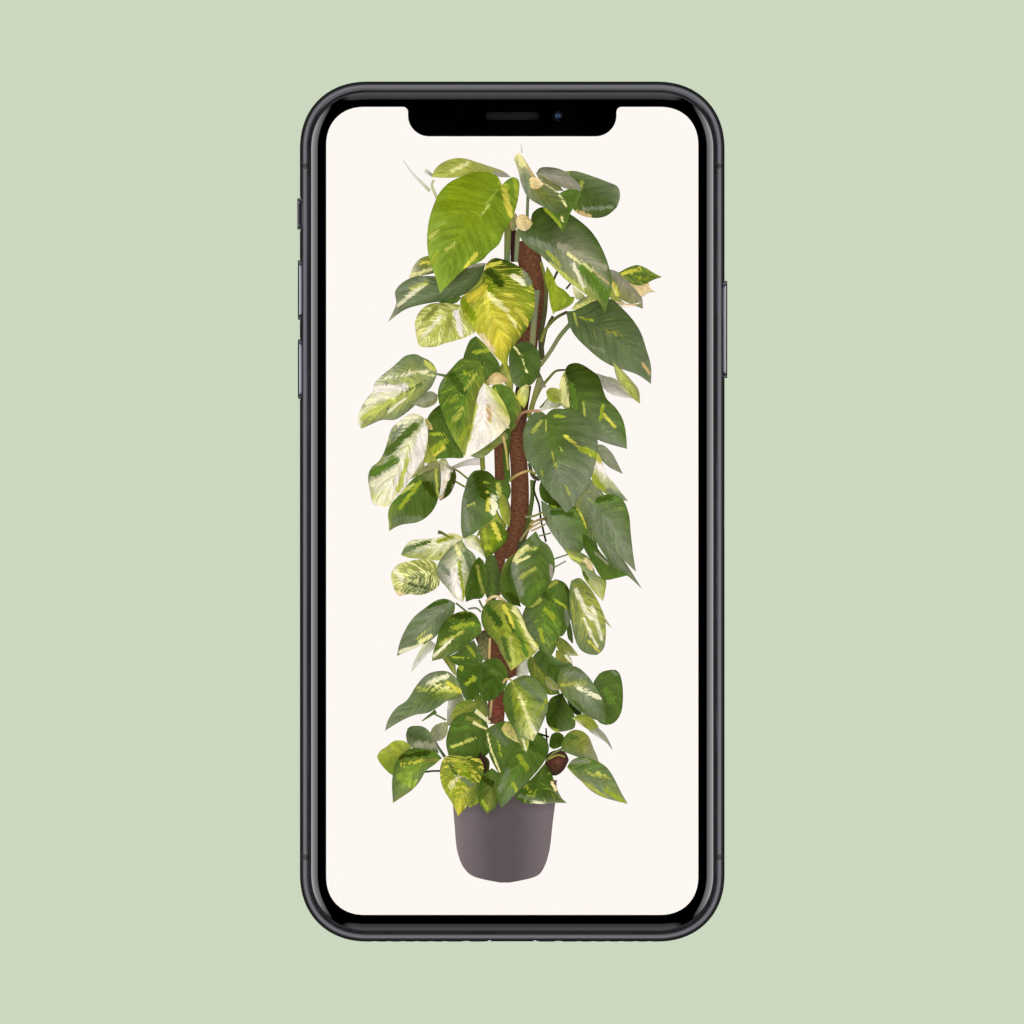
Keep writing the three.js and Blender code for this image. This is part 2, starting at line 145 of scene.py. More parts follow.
def slabOn(bm, width, length, reach, fromZ, toZ, rim=0.0, at=(0, 0), segments=14, place=Matrix()):
    # a rounded slab drawn flat, its top rim rounded, then moved into place
    drawn = bmesh.new()
    foot = roundedFace(drawn, width, length, reach, fromZ, segments=segments, at=at)
    top = liftFace(drawn, foot, toZ - fromZ)
    if rim:
        roundRim(drawn, top, rim)
    addTo(bm, drawn, place)


def pill(bm, width, height, fromZ, toZ, rim=0.0, place=Matrix(), at=(0, 0), segments=14):
    # a slab whose ends are half circles
    slabOn(bm, width, height, min(width, height) / 2, fromZ, toZ, rim, at, segments, place)


def block(bm, low, high, rim=0.0):
    drawn = bmesh.new()
    low, high = Vector(low), Vector(high)
    bmesh.ops.create_cube(drawn, size=mm)
    bmesh.ops.scale(drawn, verts=drawn.verts, vec=high - low)
    bmesh.ops.translate(drawn, verts=drawn.verts, vec=(high + low) / 2 * mm)
    if rim:
        bmesh.ops.bevel(
            drawn, geom=drawn.edges, affect="EDGES", offset=rim * mm, segments=2, profile=0.5,
            material=-1, clamp_overlap=True,
        )
    addTo(bm, drawn)


def turned(bm, profile, place=Matrix(), steps=48):
    # a closed solid from (radius, height) points spun about its own axis
    drawn = bmesh.new()
    points = [drawn.verts.new((radius * mm, 0, z * mm)) for radius, z in profile]
    edges = [drawn.edges.new(pair) for pair in zip(points, points[1:])]
    bmesh.ops.spin(
        drawn, geom=points + edges, cent=(0, 0, 0), axis=(0, 0, 1), dvec=(0, 0, 0), angle=math.tau,
        steps=steps, use_merge=True, use_duplicate=False,
    )
    bmesh.ops.remove_doubles(drawn, verts=drawn.verts, dist=merge["outline"])
    addTo(bm, drawn, place)


def onSide(side, y, z, depth):
    # faces a piece drawn flat, its length along X, out of a long edge
    turn = Matrix(((0, 0, side), (side, 0, 0), (0, 1, 0))).to_4x4()
    return Matrix.Translation(Vector((side * (sideX - depth), y, z)) * mm) @ turn


def onBottomEnd(x, depth):
    # faces it out of the bottom end
    turn = Matrix(((1, 0, 0), (0, 0, -1), (0, 1, 0))).to_4x4()
    return Matrix.Translation(Vector((x, depth - endY, middleZ)) * mm) @ turn


def onBack(x, y):
    # faces it down, heights counted down from the table
    return Matrix.Translation(Vector((x, y, 0)) * mm) @ Matrix.Rotation(math.pi, 4, "X")


def skin(bm, steps, closed=False):
    # strips between neighbouring outlines of the body, each given as inset and height; every strip is
    # drawn by itself, as bridging beside faces that are there already can pair the corners crosswise
    following = steps[1:] + steps[:1] if closed else steps[1:]
    for pair in zip(steps, following):
        drawn = bmesh.new()
        edges = [edge for inset, z in pair for edge in bodyLoop(drawn, inset, z)]
        bmesh.ops.bridge_loops(drawn, edges=edges)
        addTo(bm, drawn)
    bmesh.ops.remove_doubles(bm, verts=bm.verts, dist=merge["skin"])


def looseObject(bm, name):
    mesh = bpy.data.meshes.new(name)
    bm.to_mesh(mesh)
    bm.free()
    thing = bpy.data.objects.new(name, mesh)
    bpy.context.scene.collection.objects.link(thing)
    return thing


def carve(bm, cutter, operation="DIFFERENCE"):
    # one solid cut by another, or joined with it
    bmesh.ops.recalc_face_normals(bm, faces=bm.faces)
    bmesh.ops.recalc_face_normals(cutter, faces=cutter.faces)
    blank = looseObject(bm, "blank")
    tool = looseObject(cutter, "tool")
    modifier = blank.modifiers.new("carve", "BOOLEAN")
    modifier.object = tool
    modifier.operation = operation
    modifier.solver = "EXACT"
    worked = blank.evaluated_get(bpy.context.evaluated_depsgraph_get())
    mesh = bpy.data.meshes.new_from_object(worked)
    for thing in (blank, tool):
        data = thing.data
        bpy.data.objects.remove(thing)
        bpy.data.meshes.remove(data)
    carved = bmesh.new()
    carved.from_mesh(mesh)
    bpy.data.meshes.remove(mesh)
    return carved


def finishPiece(bm, name, material, stands=(), rideOn=body, sharp=32, sheet=False):
    # a piece with its finish, its body and the nodes it stands for; edges over the sharp angle stay crisp,
    # and a flat sheet is kept as it was drawn
    if not sheet:
        bmesh.ops.remove_doubles(bm, verts=bm.verts, dist=merge["piece"])
        bmesh.ops.delete(bm, geom=[edge for edge in bm.edges if edge.is_wire], context="EDGES")
        bmesh.ops.recalc_face_normals(bm, faces=bm.faces)
    piece = looseObject(bm, name)
    piece.data.shade_smooth()
    piece.data.set_sharp_from_angle(angle=math.radians(sharp))
    materials = material if isinstance(material, list) else [material]
    for made in materials:
        piece.data.materials.append(made)
    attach(piece, rideOn)
    if stands:
        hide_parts(*stands)
    return piece


print("camera, floor and light")

view = dict(across=170.97, middle=(-0.04, -0.067), height=600, farthest=20)  # the last in metres
camera = bpy.data.objects.new("camera", bpy.data.cameras.new("camera"))
bpy.context.scene.collection.objects.link(camera)
camera.data.type = "ORTHO"
camera.data.ortho_scale = view["across"] * mm
camera.data.clip_end = view["farthest"]
camera.location = Vector((*view["middle"], view["height"])) * mm
bpy.context.scene.camera = camera
bpy.context.scene.view_settings.view_transform = "Standard"
bpy.context.scene.view_settings.look = "None"

# floor: pale green card that shows its own colour, too evenly lit to hold a shadow
card = dict(colour="#ccd8bf", unlit="#0c0d0b", glow=0.99, half=9, below=0.02)  # half its width is in metres
floorMesh = bmesh.new()
bmesh.ops.create_grid(floorMesh, x_segments=1, y_segments=1, size=card["half"])
bmesh.ops.translate(floorMesh, verts=floorMesh.verts, vec=(0, 0, -card["below"] * mm))
floor = looseObject(floorMesh, "floor")
floor.visible_glossy = False
cardColour = linearColour(card["colour"])
paleCard = bpy.data.materials.new("paleCard")
paleCard.use_nodes = True
cardShader = paleCard.node_tree.nodes["Principled BSDF"]
cardShader.inputs["Base Color"].default_value = linearColour(card["unlit"])
cardShader.inputs["Specular IOR Level"].default_value = 0
cardShader.inputs["Emission Color"].default_value = cardColour
cardShader.inputs["Emission Strength"].default_value = card["glow"]
floor.data.materials.append(paleCard)

# light: a tall arched window at each long side, a weaker one beyond each end, a low glow all round and a
# dark ceiling, so flat glass stays black and rounded edges carry the light; a window stands one unit away,
# and its measures are in that unit
studio = dict(
    sideGlow=5.2, sideFall=1.1, sideReach=1.65, sideFade=(1.5, 0.3),
    endGlow=1.35, endFall=0.7, endReach=0.5, endFade=(0.5, 0.2),
    head=1.98, headFade=(1.08, 0.86),
    foot=0.36, footFade=0.72, footRise=0.5,  # the lower rim, and how much it rises towards the ends
    farGlow=0.8, farFade=(0.5, 0.8), farFoot=(-0.1, 0.1), farHead=(0.5, 0.3),
    ringGlow=1.55, ringTint=(1, 0.985, 1.04),
    ring=((0.0, 0.02), (0.12, 0.04), (0.2, 0.08), (0.25, 0.2), (0.31, 0.95), (0.36, 1.0), (0.45, 1.0),
          (0.49, 0.5), (0.54, 0.12), (0.6, 0.05), (0.7, 0.0)),  # from straight down to straight up
)
world = bpy.data.worlds.new("studio")
bpy.context.scene.world = world
world.use_nodes = True
tree = world.node_tree
tree.nodes.clear()
facing = addNode(tree, "SeparateXYZ", {0: addNode(tree, "TexCoord").outputs["Generated"]})
sideways = addNode(tree, "Math", {0: facing.outputs["X"]}, operation="ABSOLUTE")
endways = addNode(tree, "Math", {0: facing.outputs["Y"]}, operation="ABSOLUTE")
upwards = facing.outputs["Z"]


def archedWindow(out, along, glow, fall, reach, fade):
    # brighter low down, its head a half ellipse, its ends fading
    tiny = 0.0001
    out = addNode(tree, "Math", {0: out, 1: tiny}, operation="MAXIMUM")
    height = addNode(tree, "Math", {0: upwards, 1: out}, operation="DIVIDE")
    height = addNode(tree, "Math", {0: height, 1: tiny}, operation="MAXIMUM")
    offset = addNode(tree, "Math", {0: along, 1: out}, operation="DIVIDE")
    rise = addNode(tree, "Math", {0: height, 1: 1 / studio["head"]}, operation="MULTIPLY")
    rise = addNode(tree, "Math", {0: rise, 1: 2.0}, operation="POWER")
    spread = addNode(tree, "Math", {0: offset, 1: 2.0}, operation="POWER")
    arch = addNode(tree, "Math", {0: spread, 1: 1 / reach ** 2, 2: rise}, operation="MULTIPLY_ADD")
    foot = addNode(tree, "Math", {0: spread, 1: -studio["footRise"], 2: height}, operation="MULTIPLY_ADD")
    held = addNode(tree, "Math", {0: height, 1: studio["foot"]}, operation="MAXIMUM")
    shine = addNode(tree, "Math", {0: held, 1: -fall}, operation="POWER")
    shine = addNode(tree, "Math", {0: shine, 1: glow}, operation="MULTIPLY")
    footLimits = (studio["footFade"] * studio["foot"], studio["foot"])
    for value, limits in ((arch, studio["headFade"]), (foot, footLimits), (offset, fade)):
        mask = addNode(tree, "MapRange", {"Value": value, "From Min": limits[0], "From Max": limits[1]},
                       interpolation_type="SMOOTHSTEP")
        shine = addNode(tree, "Math", {0: shine, 1: mask}, operation="MULTIPLY")
    return shine


sideWindows = archedWindow(
    sideways, endways, studio["sideGlow"], studio["sideFall"], studio["sideReach"], studio["sideFade"])
endWindows = archedWindow(
    endways, sideways, studio["endGlow"], studio["endFall"], studio["endReach"], studio["endFade"])
lowness = addNode(tree, "MapRange", {"Value": upwards, "From Min": -1.0, "From Max": 1.0})
lowRing = addNode(tree, "ValToRGB", {0: lowness})
ramp = lowRing.color_ramp
ramp.interpolation = "EASE"
for spot, grey in studio["ring"]:
    stop = ramp.elements.new(spot)
    stop.color = [grey * part for part in studio["ringTint"]] + [1]
ramp.elements.remove(ramp.elements[0])
ramp.elements.remove(ramp.elements[-1])
lowGlow = addNode(tree, "Math", {0: lowRing, 1: studio["ringGlow"]}, operation="MULTIPLY")
farGlow = studio["farGlow"]
for value, limits in ((facing.outputs["Y"], studio["farFade"]), (upwards, studio["farFoot"]),
                      (upwards, studio["farHead"])):
    mask = addNode(tree, "MapRange", {"Value": value, "From Min": limits[0], "From Max": limits[1]},
                   interpolation_type="SMOOTHSTEP")
    farGlow = addNode(tree, "Math", {0: farGlow, 1: mask}, operation="MULTIPLY")
glow = sideWindows
for more in (endWindows, lowGlow, farGlow):
    glow = addNode(tree, "Math", {0: glow, 1: more}, operation="ADD")
lit = addNode(tree, "Background", {"Color": (1, 1, 1, 1), "Strength": glow})
plain = addNode(tree, "Background", {"Color": cardColour, "Strength": 1.0})
seen = addNode(tree, "LightPath").outputs["Is Camera Ray"]
mixed = addNode(tree, "MixShader", {0: seen, 1: lit, 2: plain})
addNode(tree, "OutputWorld", {"Surface": mixed})


print("materials")


def newMaterial(name, colour, roughness, metallic=0.0, **sockets):
    made = bpy.data.materials.new(name)
    made.use_nodes = True
    shader = made.node_tree.nodes["Principled BSDF"]
    shader.inputs["Base Color"].default_value = linearColour(colour)
    shader.inputs["Roughness"].default_value = roughness
    shader.inputs["Metallic"].default_value = metallic
    for socket, value in sockets.items():
        shader.inputs[socket.replace("_", " ")].default_value = value
    return made


smudge = 11  # how broad the marks of handling are, in mm


def breakUp(made, grain, rough, bump=0.0, stretch=(1, 1, 1), shade=None):
    # a fine texture of the given grain in mm, over broad smudges, moves the roughness; the grain is also
    # raised by bump in mm, and shade is a second colour that it mixes in; a real polish or grit is finer
    # than these grains, which are as coarse as they need to be to show
    tree = made.node_tree
    shader = tree.nodes["Principled BSDF"]
    place = addNode(tree, "TexCoord").outputs["Object"]
    density = [1 / (grain * mm * along) for along in stretch]
    fine = addNode(tree, "Mapping", {"Vector": place, "Scale": density})
    texture = addNode(tree, "TexNoise", {"Vector": fine, "Scale": 1.0, "Detail": 3.0})
    smudges = addNode(tree, "TexNoise", {"Vector": place, "Scale": 1 / (smudge * mm), "Detail": 4.0})
    both = addNode(tree, "Math", {0: texture, 1: smudges}, operation="MULTIPLY")
    spread = addNode(tree, "MapRange", {"Value": both, "From Min": 0.12, "From Max": 0.4,
                                        "To Min": rough[0], "To Max": rough[1]})
    tree.links.new(spread.outputs[0], shader.inputs["Roughness"])
    if bump:
        raised = addNode(tree, "Bump", {"Height": texture, "Distance": bump * mm, "Strength": 1.0})
        tree.links.new(raised.outputs[0], shader.inputs["Normal"])
    if shade:
        share = addNode(tree, "MapRange", {"Value": both, "From Min": 0.16, "From Max": 0.36})
        mixed = addNode(tree, "Mix", {"Factor": share}, data_type="RGBA")
        mixed.inputs["A"].default_value = shader.inputs["Base Color"].default_value
        mixed.inputs["B"].default_value = linearColour(shade)
        tree.links.new(mixed.outputs["Result"], shader.inputs["Base Color"])
    return made


# stainless steel, polished and then vapour coated: a deep grey mirror with very fine polishing lines
coatedSteel = breakUp(newMaterial("coatedSteel", "#5b5b60", 0.15, 1.0), 0.12, (0.1, 0.2),
                      stretch=(1, 1, 0.16))
# the same steel on keys and tray, polished less far: a silkier, slightly lighter grey
satinSteel = breakUp(newMaterial("satinSteel", "#56565b", 0.2, 1.0), 0.09, (0.15, 0.25), bump=0.001)
# milled steel inside the housing: duller, with tool lines
milledSteel = breakUp(newMaterial("milledSteel", "#8d8e91", 0.4, 1.0), 0.25, (0.3, 0.5),
                      stretch=(6, 0.3, 1), shade="#77787b")
# aluminosilicate glass, ion strengthened: clear, with a flawless flame polish
clearGlass = newMaterial("aluminosilicateGlass", "#ffffff", 0.0, IOR=1.5, Transmission_Weight=1.0)
# the same glass where black ink backs it: only its gloss is seen
inkedGlass = newMaterial("inkBackedGlass", "#000000", 0.015, IOR=1.5)
# rear glass over dark grey ink: a wet depth with a hint of colour
rearInk = breakUp(newMaterial("rearInkedGlass", "#1a1b1e", 0.04, Coat_Weight=0.6, Coat_Roughness=0.02),
                  4.0, (0.02, 0.08))
# screen printed ceramic ink: dead matt black behind the glass
printedInk = breakUp(newMaterial("printedInk", "#010101", 0.7, Specular_IOR_Level=0.0), 0.2, (0.6, 0.8))
# liquid silicone, moulded: black and faintly greasy; on the keys' necks its black also paints the shade in
# the gap round each key
siliconeSealAndGapShade = breakUp(newMaterial("siliconeSealAndGapShade", "#08080a", 0.5, Specular_IOR_Level=0.3), 0.3,
                       (0.4, 0.6))
# glass filled nylon, moulded into the band's gaps and polished with it: wet charcoal, darker than the metal
nylonInsert = breakUp(newMaterial("nylonInsert", "#060607", 0.2, Specular_IOR_Level=0.4), 0.12,
                      (0.16, 0.26), shade="#09090a")
# spark textured nylon housings: dull black with a fine grain
blackNylon = breakUp(newMaterial("blackNylon", "#141416", 0.6), 0.18, (0.5, 0.7), bump=0.006,
                     shade="#1b1b1e")
# black anodised aluminium of the lens barrels: soft sheen along the turning marks
anodisedBlack = breakUp(newMaterial("anodisedBlack", "#1b1c20", 0.35, 0.9), 0.08, (0.28, 0.42),
                        stretch=(1, 1, 0.2))
# lens glass with a broadband coating: nearly black, with a blue glint
coatedLens = breakUp(newMaterial("coatedLens", "#030d26", 0.03, IOR=2.3,
                                 Specular_Tint=linearColour("#a9c8ff")), 0.5, (0.01, 0.04))
# hard gold over nickel on the contacts
goldPlate = breakUp(newMaterial("goldPlate", "#d8a94f", 0.25, 1.0), 0.06, (0.2, 0.32), stretch=(1, 4, 1))
# opal polycarbonate of the flash cover: milky and a little yellow
opalCover = breakUp(newMaterial("opalCover", "#f1e8c4", 0.3, Subsurface_Weight=0.2), 0.3, (0.25, 0.4),
                    shade="#e6d9a8")
# orange pad print on the slider's marker
orangePrint = breakUp(newMaterial("orangePrint", "#dd6428", 0.5), 0.1, (0.45, 0.6), shade="#c95a22")
# pouch foil round the battery: black laminate with soft creases
pouchFoil = breakUp(newMaterial("pouchFoil", "#202124", 0.4, 0.2), 1.6, (0.3, 0.55), bump=0.03,
                    shade="#2a2b2f")

# circuit laminate: fields of green mask with bare copper between them, four rows of two to a tile
board = dict(tile=2.4, mask="#1d3b2a", maskLight="#24482f", copper="#a9884a")
laminate = newMaterial("maskedLaminate", board["mask"], 0.4)
tree = laminate.node_tree
place = addNode(tree, "TexCoord").outputs["Object"]
cells = addNode(tree, "Mapping", {"Vector": place, "Scale": [1 / (board["tile"] * mm)] * 3})
tiles = addNode(tree, "TexBrick", {"Vector": cells, "Scale": 1.0, "Mortar Size": 0.06,
                                   "Color1": linearColour(board["mask"]),
                                   "Color2": linearColour(board["maskLight"]),
                                   "Mortar": linearColour(board["copper"])})
tree.links.new(tiles.outputs["Color"], tree.nodes["Principled BSDF"].inputs["Base Color"])

# enamelled copper wound flat, its turns drawn two millimetres apart
coil = dict(y=-6, pitch=2.136, relief=0.08, wire="#c9824a", groove="#5e2f14")
copper = newMaterial("woundCopper", "#b36a35", 0.3, 1.0)
tree = copper.node_tree
place = addNode(tree, "TexCoord").outputs["Object"]
centred = addNode(tree, "Mapping", {"Vector": place, "Location": (0, -coil["y"] * mm, 0)})
ringScale = math.tau / 20 / (coil["pitch"] * mm)  # unscaled, the rings are a twentieth of tau apart
rings = addNode(tree, "TexWave", {"Vector": centred, "Scale": ringScale, "Distortion": 0.0},
                wave_type="RINGS", rings_direction="Z")
wire = addNode(tree, "Bump", {"Height": rings.outputs["Fac"], "Distance": coil["relief"] * mm,
                              "Strength": 1.0})
tree.links.new(wire.outputs[0], tree.nodes["Principled BSDF"].inputs["Normal"])
enamel = addNode(tree, "ValToRGB", {0: rings.outputs["Fac"]})
enamel.color_ramp.elements[0].color = linearColour(coil["groove"])
enamel.color_ramp.elements[1].color = linearColour(coil["wire"])
tree.links.new(enamel.outputs["Color"], tree.nodes["Principled BSDF"].inputs["Base Color"])

# woven steel gauze under the earpiece and speaker holes: near black, wires 0.16 mm apart, laid aslant
weaveLook = dict(pitch=0.16, relief=0.02, slant=45, wire="#0c0c0d", hole="#030303")
gauze = newMaterial("wovenGauze", "#0b0b0c", 0.6, Specular_IOR_Level=0.08)
tree = gauze.node_tree
place = addNode(tree, "TexCoord").outputs["Object"]
weave = addNode(tree, "Mapping", {"Vector": place, "Rotation": (0, 0, math.radians(weaveLook["slant"])),
                                  "Scale": [1 / (weaveLook["pitch"] * mm)] * 3})
holes = addNode(tree, "TexChecker", {"Vector": weave, "Scale": 1.0,
                                     "Color1": linearColour(weaveLook["wire"]),
                                     "Color2": linearColour(weaveLook["hole"])})
tree.links.new(holes.outputs["Color"], tree.nodes["Principled BSDF"].inputs["Base Color"])
threads = addNode(tree, "Bump", {"Height": holes.outputs["Fac"], "Distance": weaveLook["relief"] * mm,
                                "Strength": 0.6})
tree.links.new(threads.outputs[0], tree.nodes["Principled BSDF"].inputs["Normal"])

# nodes that stay as they are and only take a finish
cadFinishes = dict(
    front_gasket=siliconeSealAndGapShade, back_gasket=siliconeSealAndGapShade, screen_plate=milledSteel, earpiece_mesh=gauze,
    earpiece_module=blackNylon, light_sensor=blackNylon, rear_camera_deck=anodisedBlack,
    rear_camera_module=blackNylon, battery=pouchFoil, logic_board=laminate, card_reader=milledSteel,
    haptic_motor=milledSteel, loudspeaker=blackNylon, charging_coil=copper,
    ring_switch_marker=orangePrint,
)
for node, finish in cadFinishes.items():
    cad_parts[node].data.materials.clear()
    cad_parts[node].data.materials.append(finish)


print("metal band and its cut-outs")

band = dict(arcSteps=26, lip=0.05, seam=0.012)
shelfTop = frontZ - phone["shelfDepth"]
shelfBack = backZ + phone["shelfDepth"]
lipAngle = edgeAngle(phone["recessInset"])
behindWall = phone["wallInset"] + 0.5  # where a cutter that opens the whole wall starts
clear = 4  # a cutter's length, enough to come out of whatever it cuts
frontCut = (6, 10)  # heights of a cutter that opens the front, and of one that opens the back
backCut = (-1, 3)

keys = [
    dict(body="volume_up", node="volume_up_button", side=-1, y=37.0, length=10.2, proud=0.35),
    dict(body="volume_down", node="volume_down_button", side=-1, y=23.8, length=10.2, proud=0.35),
    dict(body="side_key", node="side_button", side=1, y=30.4, length=16.5, proud=0.45),
]
key = dict(width=2.9, running=0.12, stem=1.6, slotDepth=2.15, neck=0.32, headRoot=0.45, skirt=0.02,
           draft=0.19, rim=0.07, crown=0.1)
ringSwitch = dict(side=-1, y=49.7, length=5.5, width=1.9, travel=1.0, proud=0.45, stem=1.75)
tray = dict(y=4.0, length=15.0, width=1.7, depth=1.0, slack=0.01, fit=0.08, seat=0.12,
            plateLength=14.2, plateWidth=0.9, plateEdge=0.08, plateRoot=0.2, plateCut=3, reach=14.6,
            holeRadius=0.45, holeOffset=1.3, holeDepth=3, window=(1.6, 10.4), windowHalf=6.15)
port = dict(width=9.1, height=2.7, wall=0.3, floor=0.4, fit=0.08, mouth=0.05, back=7.4)
screw = dict(x=7.7, foot=2.8, underHead=1.8, head=0.8, shank=0.5, sunk=0.2, fit=0.08, seat=0.05,
             edge=0.16, edgeMiddle=0.05, socket=0.36, socketDepth=0.4, lobes=5, lobe=0.22)
sound = dict(first=11.2, pitch=2.35, count=6, radius=0.64, gauzeHalf=6.8, gauzeRise=1, gauze=(3.0, 3.2))
insert = dict(y=57.7, width=0.96, gap=0.004, arcSteps=24, seam=0.03, cutHeight=9, cutCorner=0.01)
rearCamera = dict(y=55.5, width=27.4, height=12.8, wall=1.2, rim=0.4, fit=0.1, floorHole=(23.4, 8.4),
                  window=(-0.8, -0.2), windowGap=0.08, windowRim=0.08, lensX=8.1, lensRadius=3.4)


def sideArc(seam, steps):
    # the rounded side between the lips that hold the glass, kept a small angle off both
    start = lipAngle + seam
    return [edgePoint(start + (math.pi - 2 * start) * step / steps) for step in range(steps + 1)]


bm = bmesh.new()
profile = sideArc(band["seam"], band["arcSteps"])
profile += [
    (phone["recessInset"], profile[-1][1] + band["lip"]), (phone["recessInset"], shelfBack),
    (phone["wallInset"], shelfBack), (phone["wallInset"], shelfTop), (phone["recessInset"], shelfTop),
    (phone["recessInset"], profile[0][1] - band["lip"]),
]
skin(bm, profile, closed=True)

cutter = bmesh.new()
slotWidth = key["width"] + 2 * key["running"]
for each in keys:
    pill(cutter, each["length"] + 2 * key["running"], slotWidth, 0, clear,
         place=onSide(each["side"], each["y"], middleZ, key["slotDepth"]))
slotWidth = ringSwitch["width"] + 2 * key["running"]
slabOn(cutter, ringSwitch["length"] + 2 * key["running"], slotWidth + ringSwitch["travel"], slotWidth / 2,
       0, clear, place=onSide(ringSwitch["side"], ringSwitch["y"], middleZ, key["slotDepth"]))
pill(cutter, tray["length"] + 2 * tray["fit"], tray["width"] + 2 * tray["fit"], 0, clear,
     place=onSide(1, tray["y"], middleZ, tray["depth"] + tray["seat"]))
# the plate's cutter has to end inside the face's: if both came out, the face's pocket would stay filled
pill(cutter, tray["plateLength"] + 2 * tray["seat"], tray["plateWidth"] + 2 * tray["seat"], 0,
     tray["plateCut"], place=onSide(1, tray["y"], middleZ, behindWall))
for side in (-1, 1):
    for y in (-insert["y"], insert["y"]):
        slabOn(cutter, insert["width"] + 2 * insert["gap"], insert["cutHeight"], insert["cutCorner"],
               0, clear, segments=1, place=onSide(side, y, middleZ, phone["recessInset"] - 0.01))
pill(cutter, port["width"] + 2 * port["fit"], port["height"] + 2 * port["fit"], 0, clear,
     place=onBottomEnd(0, behindWall))
for side in (-1, 1):
    bore = 2 * (screw["head"] + screw["fit"])
    seat = screw["foot"] - screw["underHead"] + screw["seat"]
    pill(cutter, bore, bore, 0, clear, segments=8, place=onBottomEnd(side * screw["x"], seat))
    for hole in range(sound["count"]):
        x = side * (sound["first"] + hole * sound["pitch"])
        pill(cutter, 2 * sound["radius"], 2 * sound["radius"], 0, clear, segments=8,
             place=onBottomEnd(x, behindWall))
finishPiece(carve(bm, cutter), "metal_band", coatedSteel, ["chassis"], sharp=34)

# the housing's floor, with the holes for the coil and the rear camera
housing = dict(overlap=0.05, lift=0.01, thickness=0.42, coilHole=20.8)
bm = bmesh.new()
floorFace = bodyFace(bm, phone["wallInset"] - housing["overlap"], shelfBack + housing["lift"])
liftFace(bm, floorFace, housing["thickness"])
cutter = bmesh.new()
coilHole = [(0, 0), (housing["coilHole"], 0), (housing["coilHole"], clear), (0, clear)]
turned(cutter, coilHole, Matrix.Translation((0, coil["y"] * mm, 0)))
pill(cutter, *rearCamera["floorHole"], 0, clear, at=(0, rearCamera["y"]))
finishPiece(carve(bm, cutter), "housing_floor", milledSteel)

for side, word in ((-1, "left"), (1, "right")):
    for end, place in ((1, "upper"), (-1, "lower")):
        arc = sideArc(insert["seam"], insert["arcSteps"])
        inner = phone["recessInset"] - insert["gap"]
        outline = arc + [(inner, arc[-1][1]), (inner, arc[0][1])]
        y = end * insert["y"] - insert["width"] / 2
        bm = bmesh.new()
        corners = [Vector((side * (sideX - inset), y, z)) * mm for inset, z in outline]
        face = bm.faces.new([bm.verts.new(corner) for corner in corners])
        raised = bmesh.ops.extrude_face_region(bm, geom=[face])["geom"]
        far = [item for item in raised if isinstance(item, bmesh.types.BMVert)]
        bmesh.ops.translate(bm, verts=far, vec=(0, insert["width"] * mm, 0))
        finishPiece(bm, f"insert_{word}_{place}", nylonInsert,
                    [f"antenna_insert_{word}_{place}"], sharp=20)


print("front and rear glass")

glass = dict(arcSteps=14, crown=0.02, skirt=0.05, flat=0.999)  # a face this level counts as flat
earpiece = dict(y=endY - 5.75, length=9.1, width=1.3)


def glassSlab(sign):
    # sign is 1 at the front and -1 at the back; the edge carries on the band's half circle
    bm = bmesh.new()
    start = edgeAngle(phone["glassInset"])
    inner = edgeRadius - phone["glassThickness"]
    rises = [(phone["glassInset"], inner),
             (phone["glassInset"], edgeRadius * math.cos(start) - glass["skirt"])]
    for step in range(glass["arcSteps"] + 1):
        inset, z = edgePoint((start - glass["crown"]) * (1 - step / glass["arcSteps"]))
        rises.append((inset, z - middleZ))
    steps = [(inset, middleZ + sign * rise) for inset, rise in rises]
    for inset, z in (steps[0], steps[-1]):
        bodyFace(bm, inset, z)
    skin(bm, steps)
    return bm


cutter = bmesh.new()
pill(cutter, earpiece["length"], earpiece["width"], *frontCut, at=(0, earpiece["y"]))
bm = carve(glassSlab(1), cutter)
for face in bm.faces:
    face.material_index = 0 if abs(face.normal.z) > glass["flat"] else 1
finishPiece(bm, "front_glass", [clearGlass, inkedGlass], ["cover_glass"], sharp=40)

cutter = bmesh.new()
pill(cutter, rearCamera["width"] + 2 * rearCamera["fit"], rearCamera["height"] + 2 * rearCamera["fit"],
     *backCut, at=(0, rearCamera["y"]))
finishPiece(carve(glassSlab(-1), cutter), "rear_glass", rearInk, ["back_glass"], sharp=40)


print("keys, slider and card tray")

bowCuts = 12  # strips across a face that is bowed


def bow(bm, middle, width, side, beyond):
    # lets what lies beyond a distance from the phone's middle follow the band's half circle
    for step in range(1, bowCuts):
        cut = middle + width * (step / bowCuts - 0.5)
        bmesh.ops.bisect_plane(bm, geom=bm.verts[:] + bm.edges[:] + bm.faces[:], plane_co=(0, 0, cut * mm),
                               plane_no=(0, 0, 1), dist=merge["outline"])
    for vert in bm.verts:
        if side * vert.co.x > beyond * mm:
            rise = vert.co.z / mm - middle
            vert.co.x -= side * (edgeRadius - math.sqrt(edgeRadius ** 2 - rise ** 2)) * mm


def keyCap(length, width, stem, proud, side, y, middle):
    # a slimmer neck under a black seal carries a head with drafted flanks and a bowed face; the seal's
    # black is partly painted shade, the dark line of the gap round the key
    place = onSide(side, y, middle, stem)
    bm = bmesh.new()
    pill(bm, length - 2 * key["neck"], width - 2 * key["neck"], 0, stem, place=place)
    # the neck takes the black seal, whose black also paints the shade in the gap round the key
    for face in bm.faces:
        face.material_index = 1
    drawn = bmesh.new()
    root = roundedFace(drawn, length, width, width / 2, stem - key["headRoot"], segments=14)
    top = liftFace(drawn, root, key["skirt"])
    flank = (proud + key["headRoot"] - key["skirt"]) * mm
    bmesh.ops.inset_region(drawn, faces=[top], thickness=key["draft"] * mm, depth=flank,
                           use_even_offset=True)
    roundRim(drawn, top, key["rim"], 3)
    bmesh.ops.transform(drawn, matrix=place, verts=drawn.verts)
    bow(drawn, middle, width, side, sideX + proud - key["crown"])
    addTo(bm, drawn)
    return bm


for each in keys:
    cap = keyCap(each["length"], key["width"], key["stem"], each["proud"], each["side"], each["y"], middleZ)
    finishPiece(cap, each["body"] + "_cap", [satinSteel, siliconeSealAndGapShade], [each["node"]],
                each["body"], sharp=20)

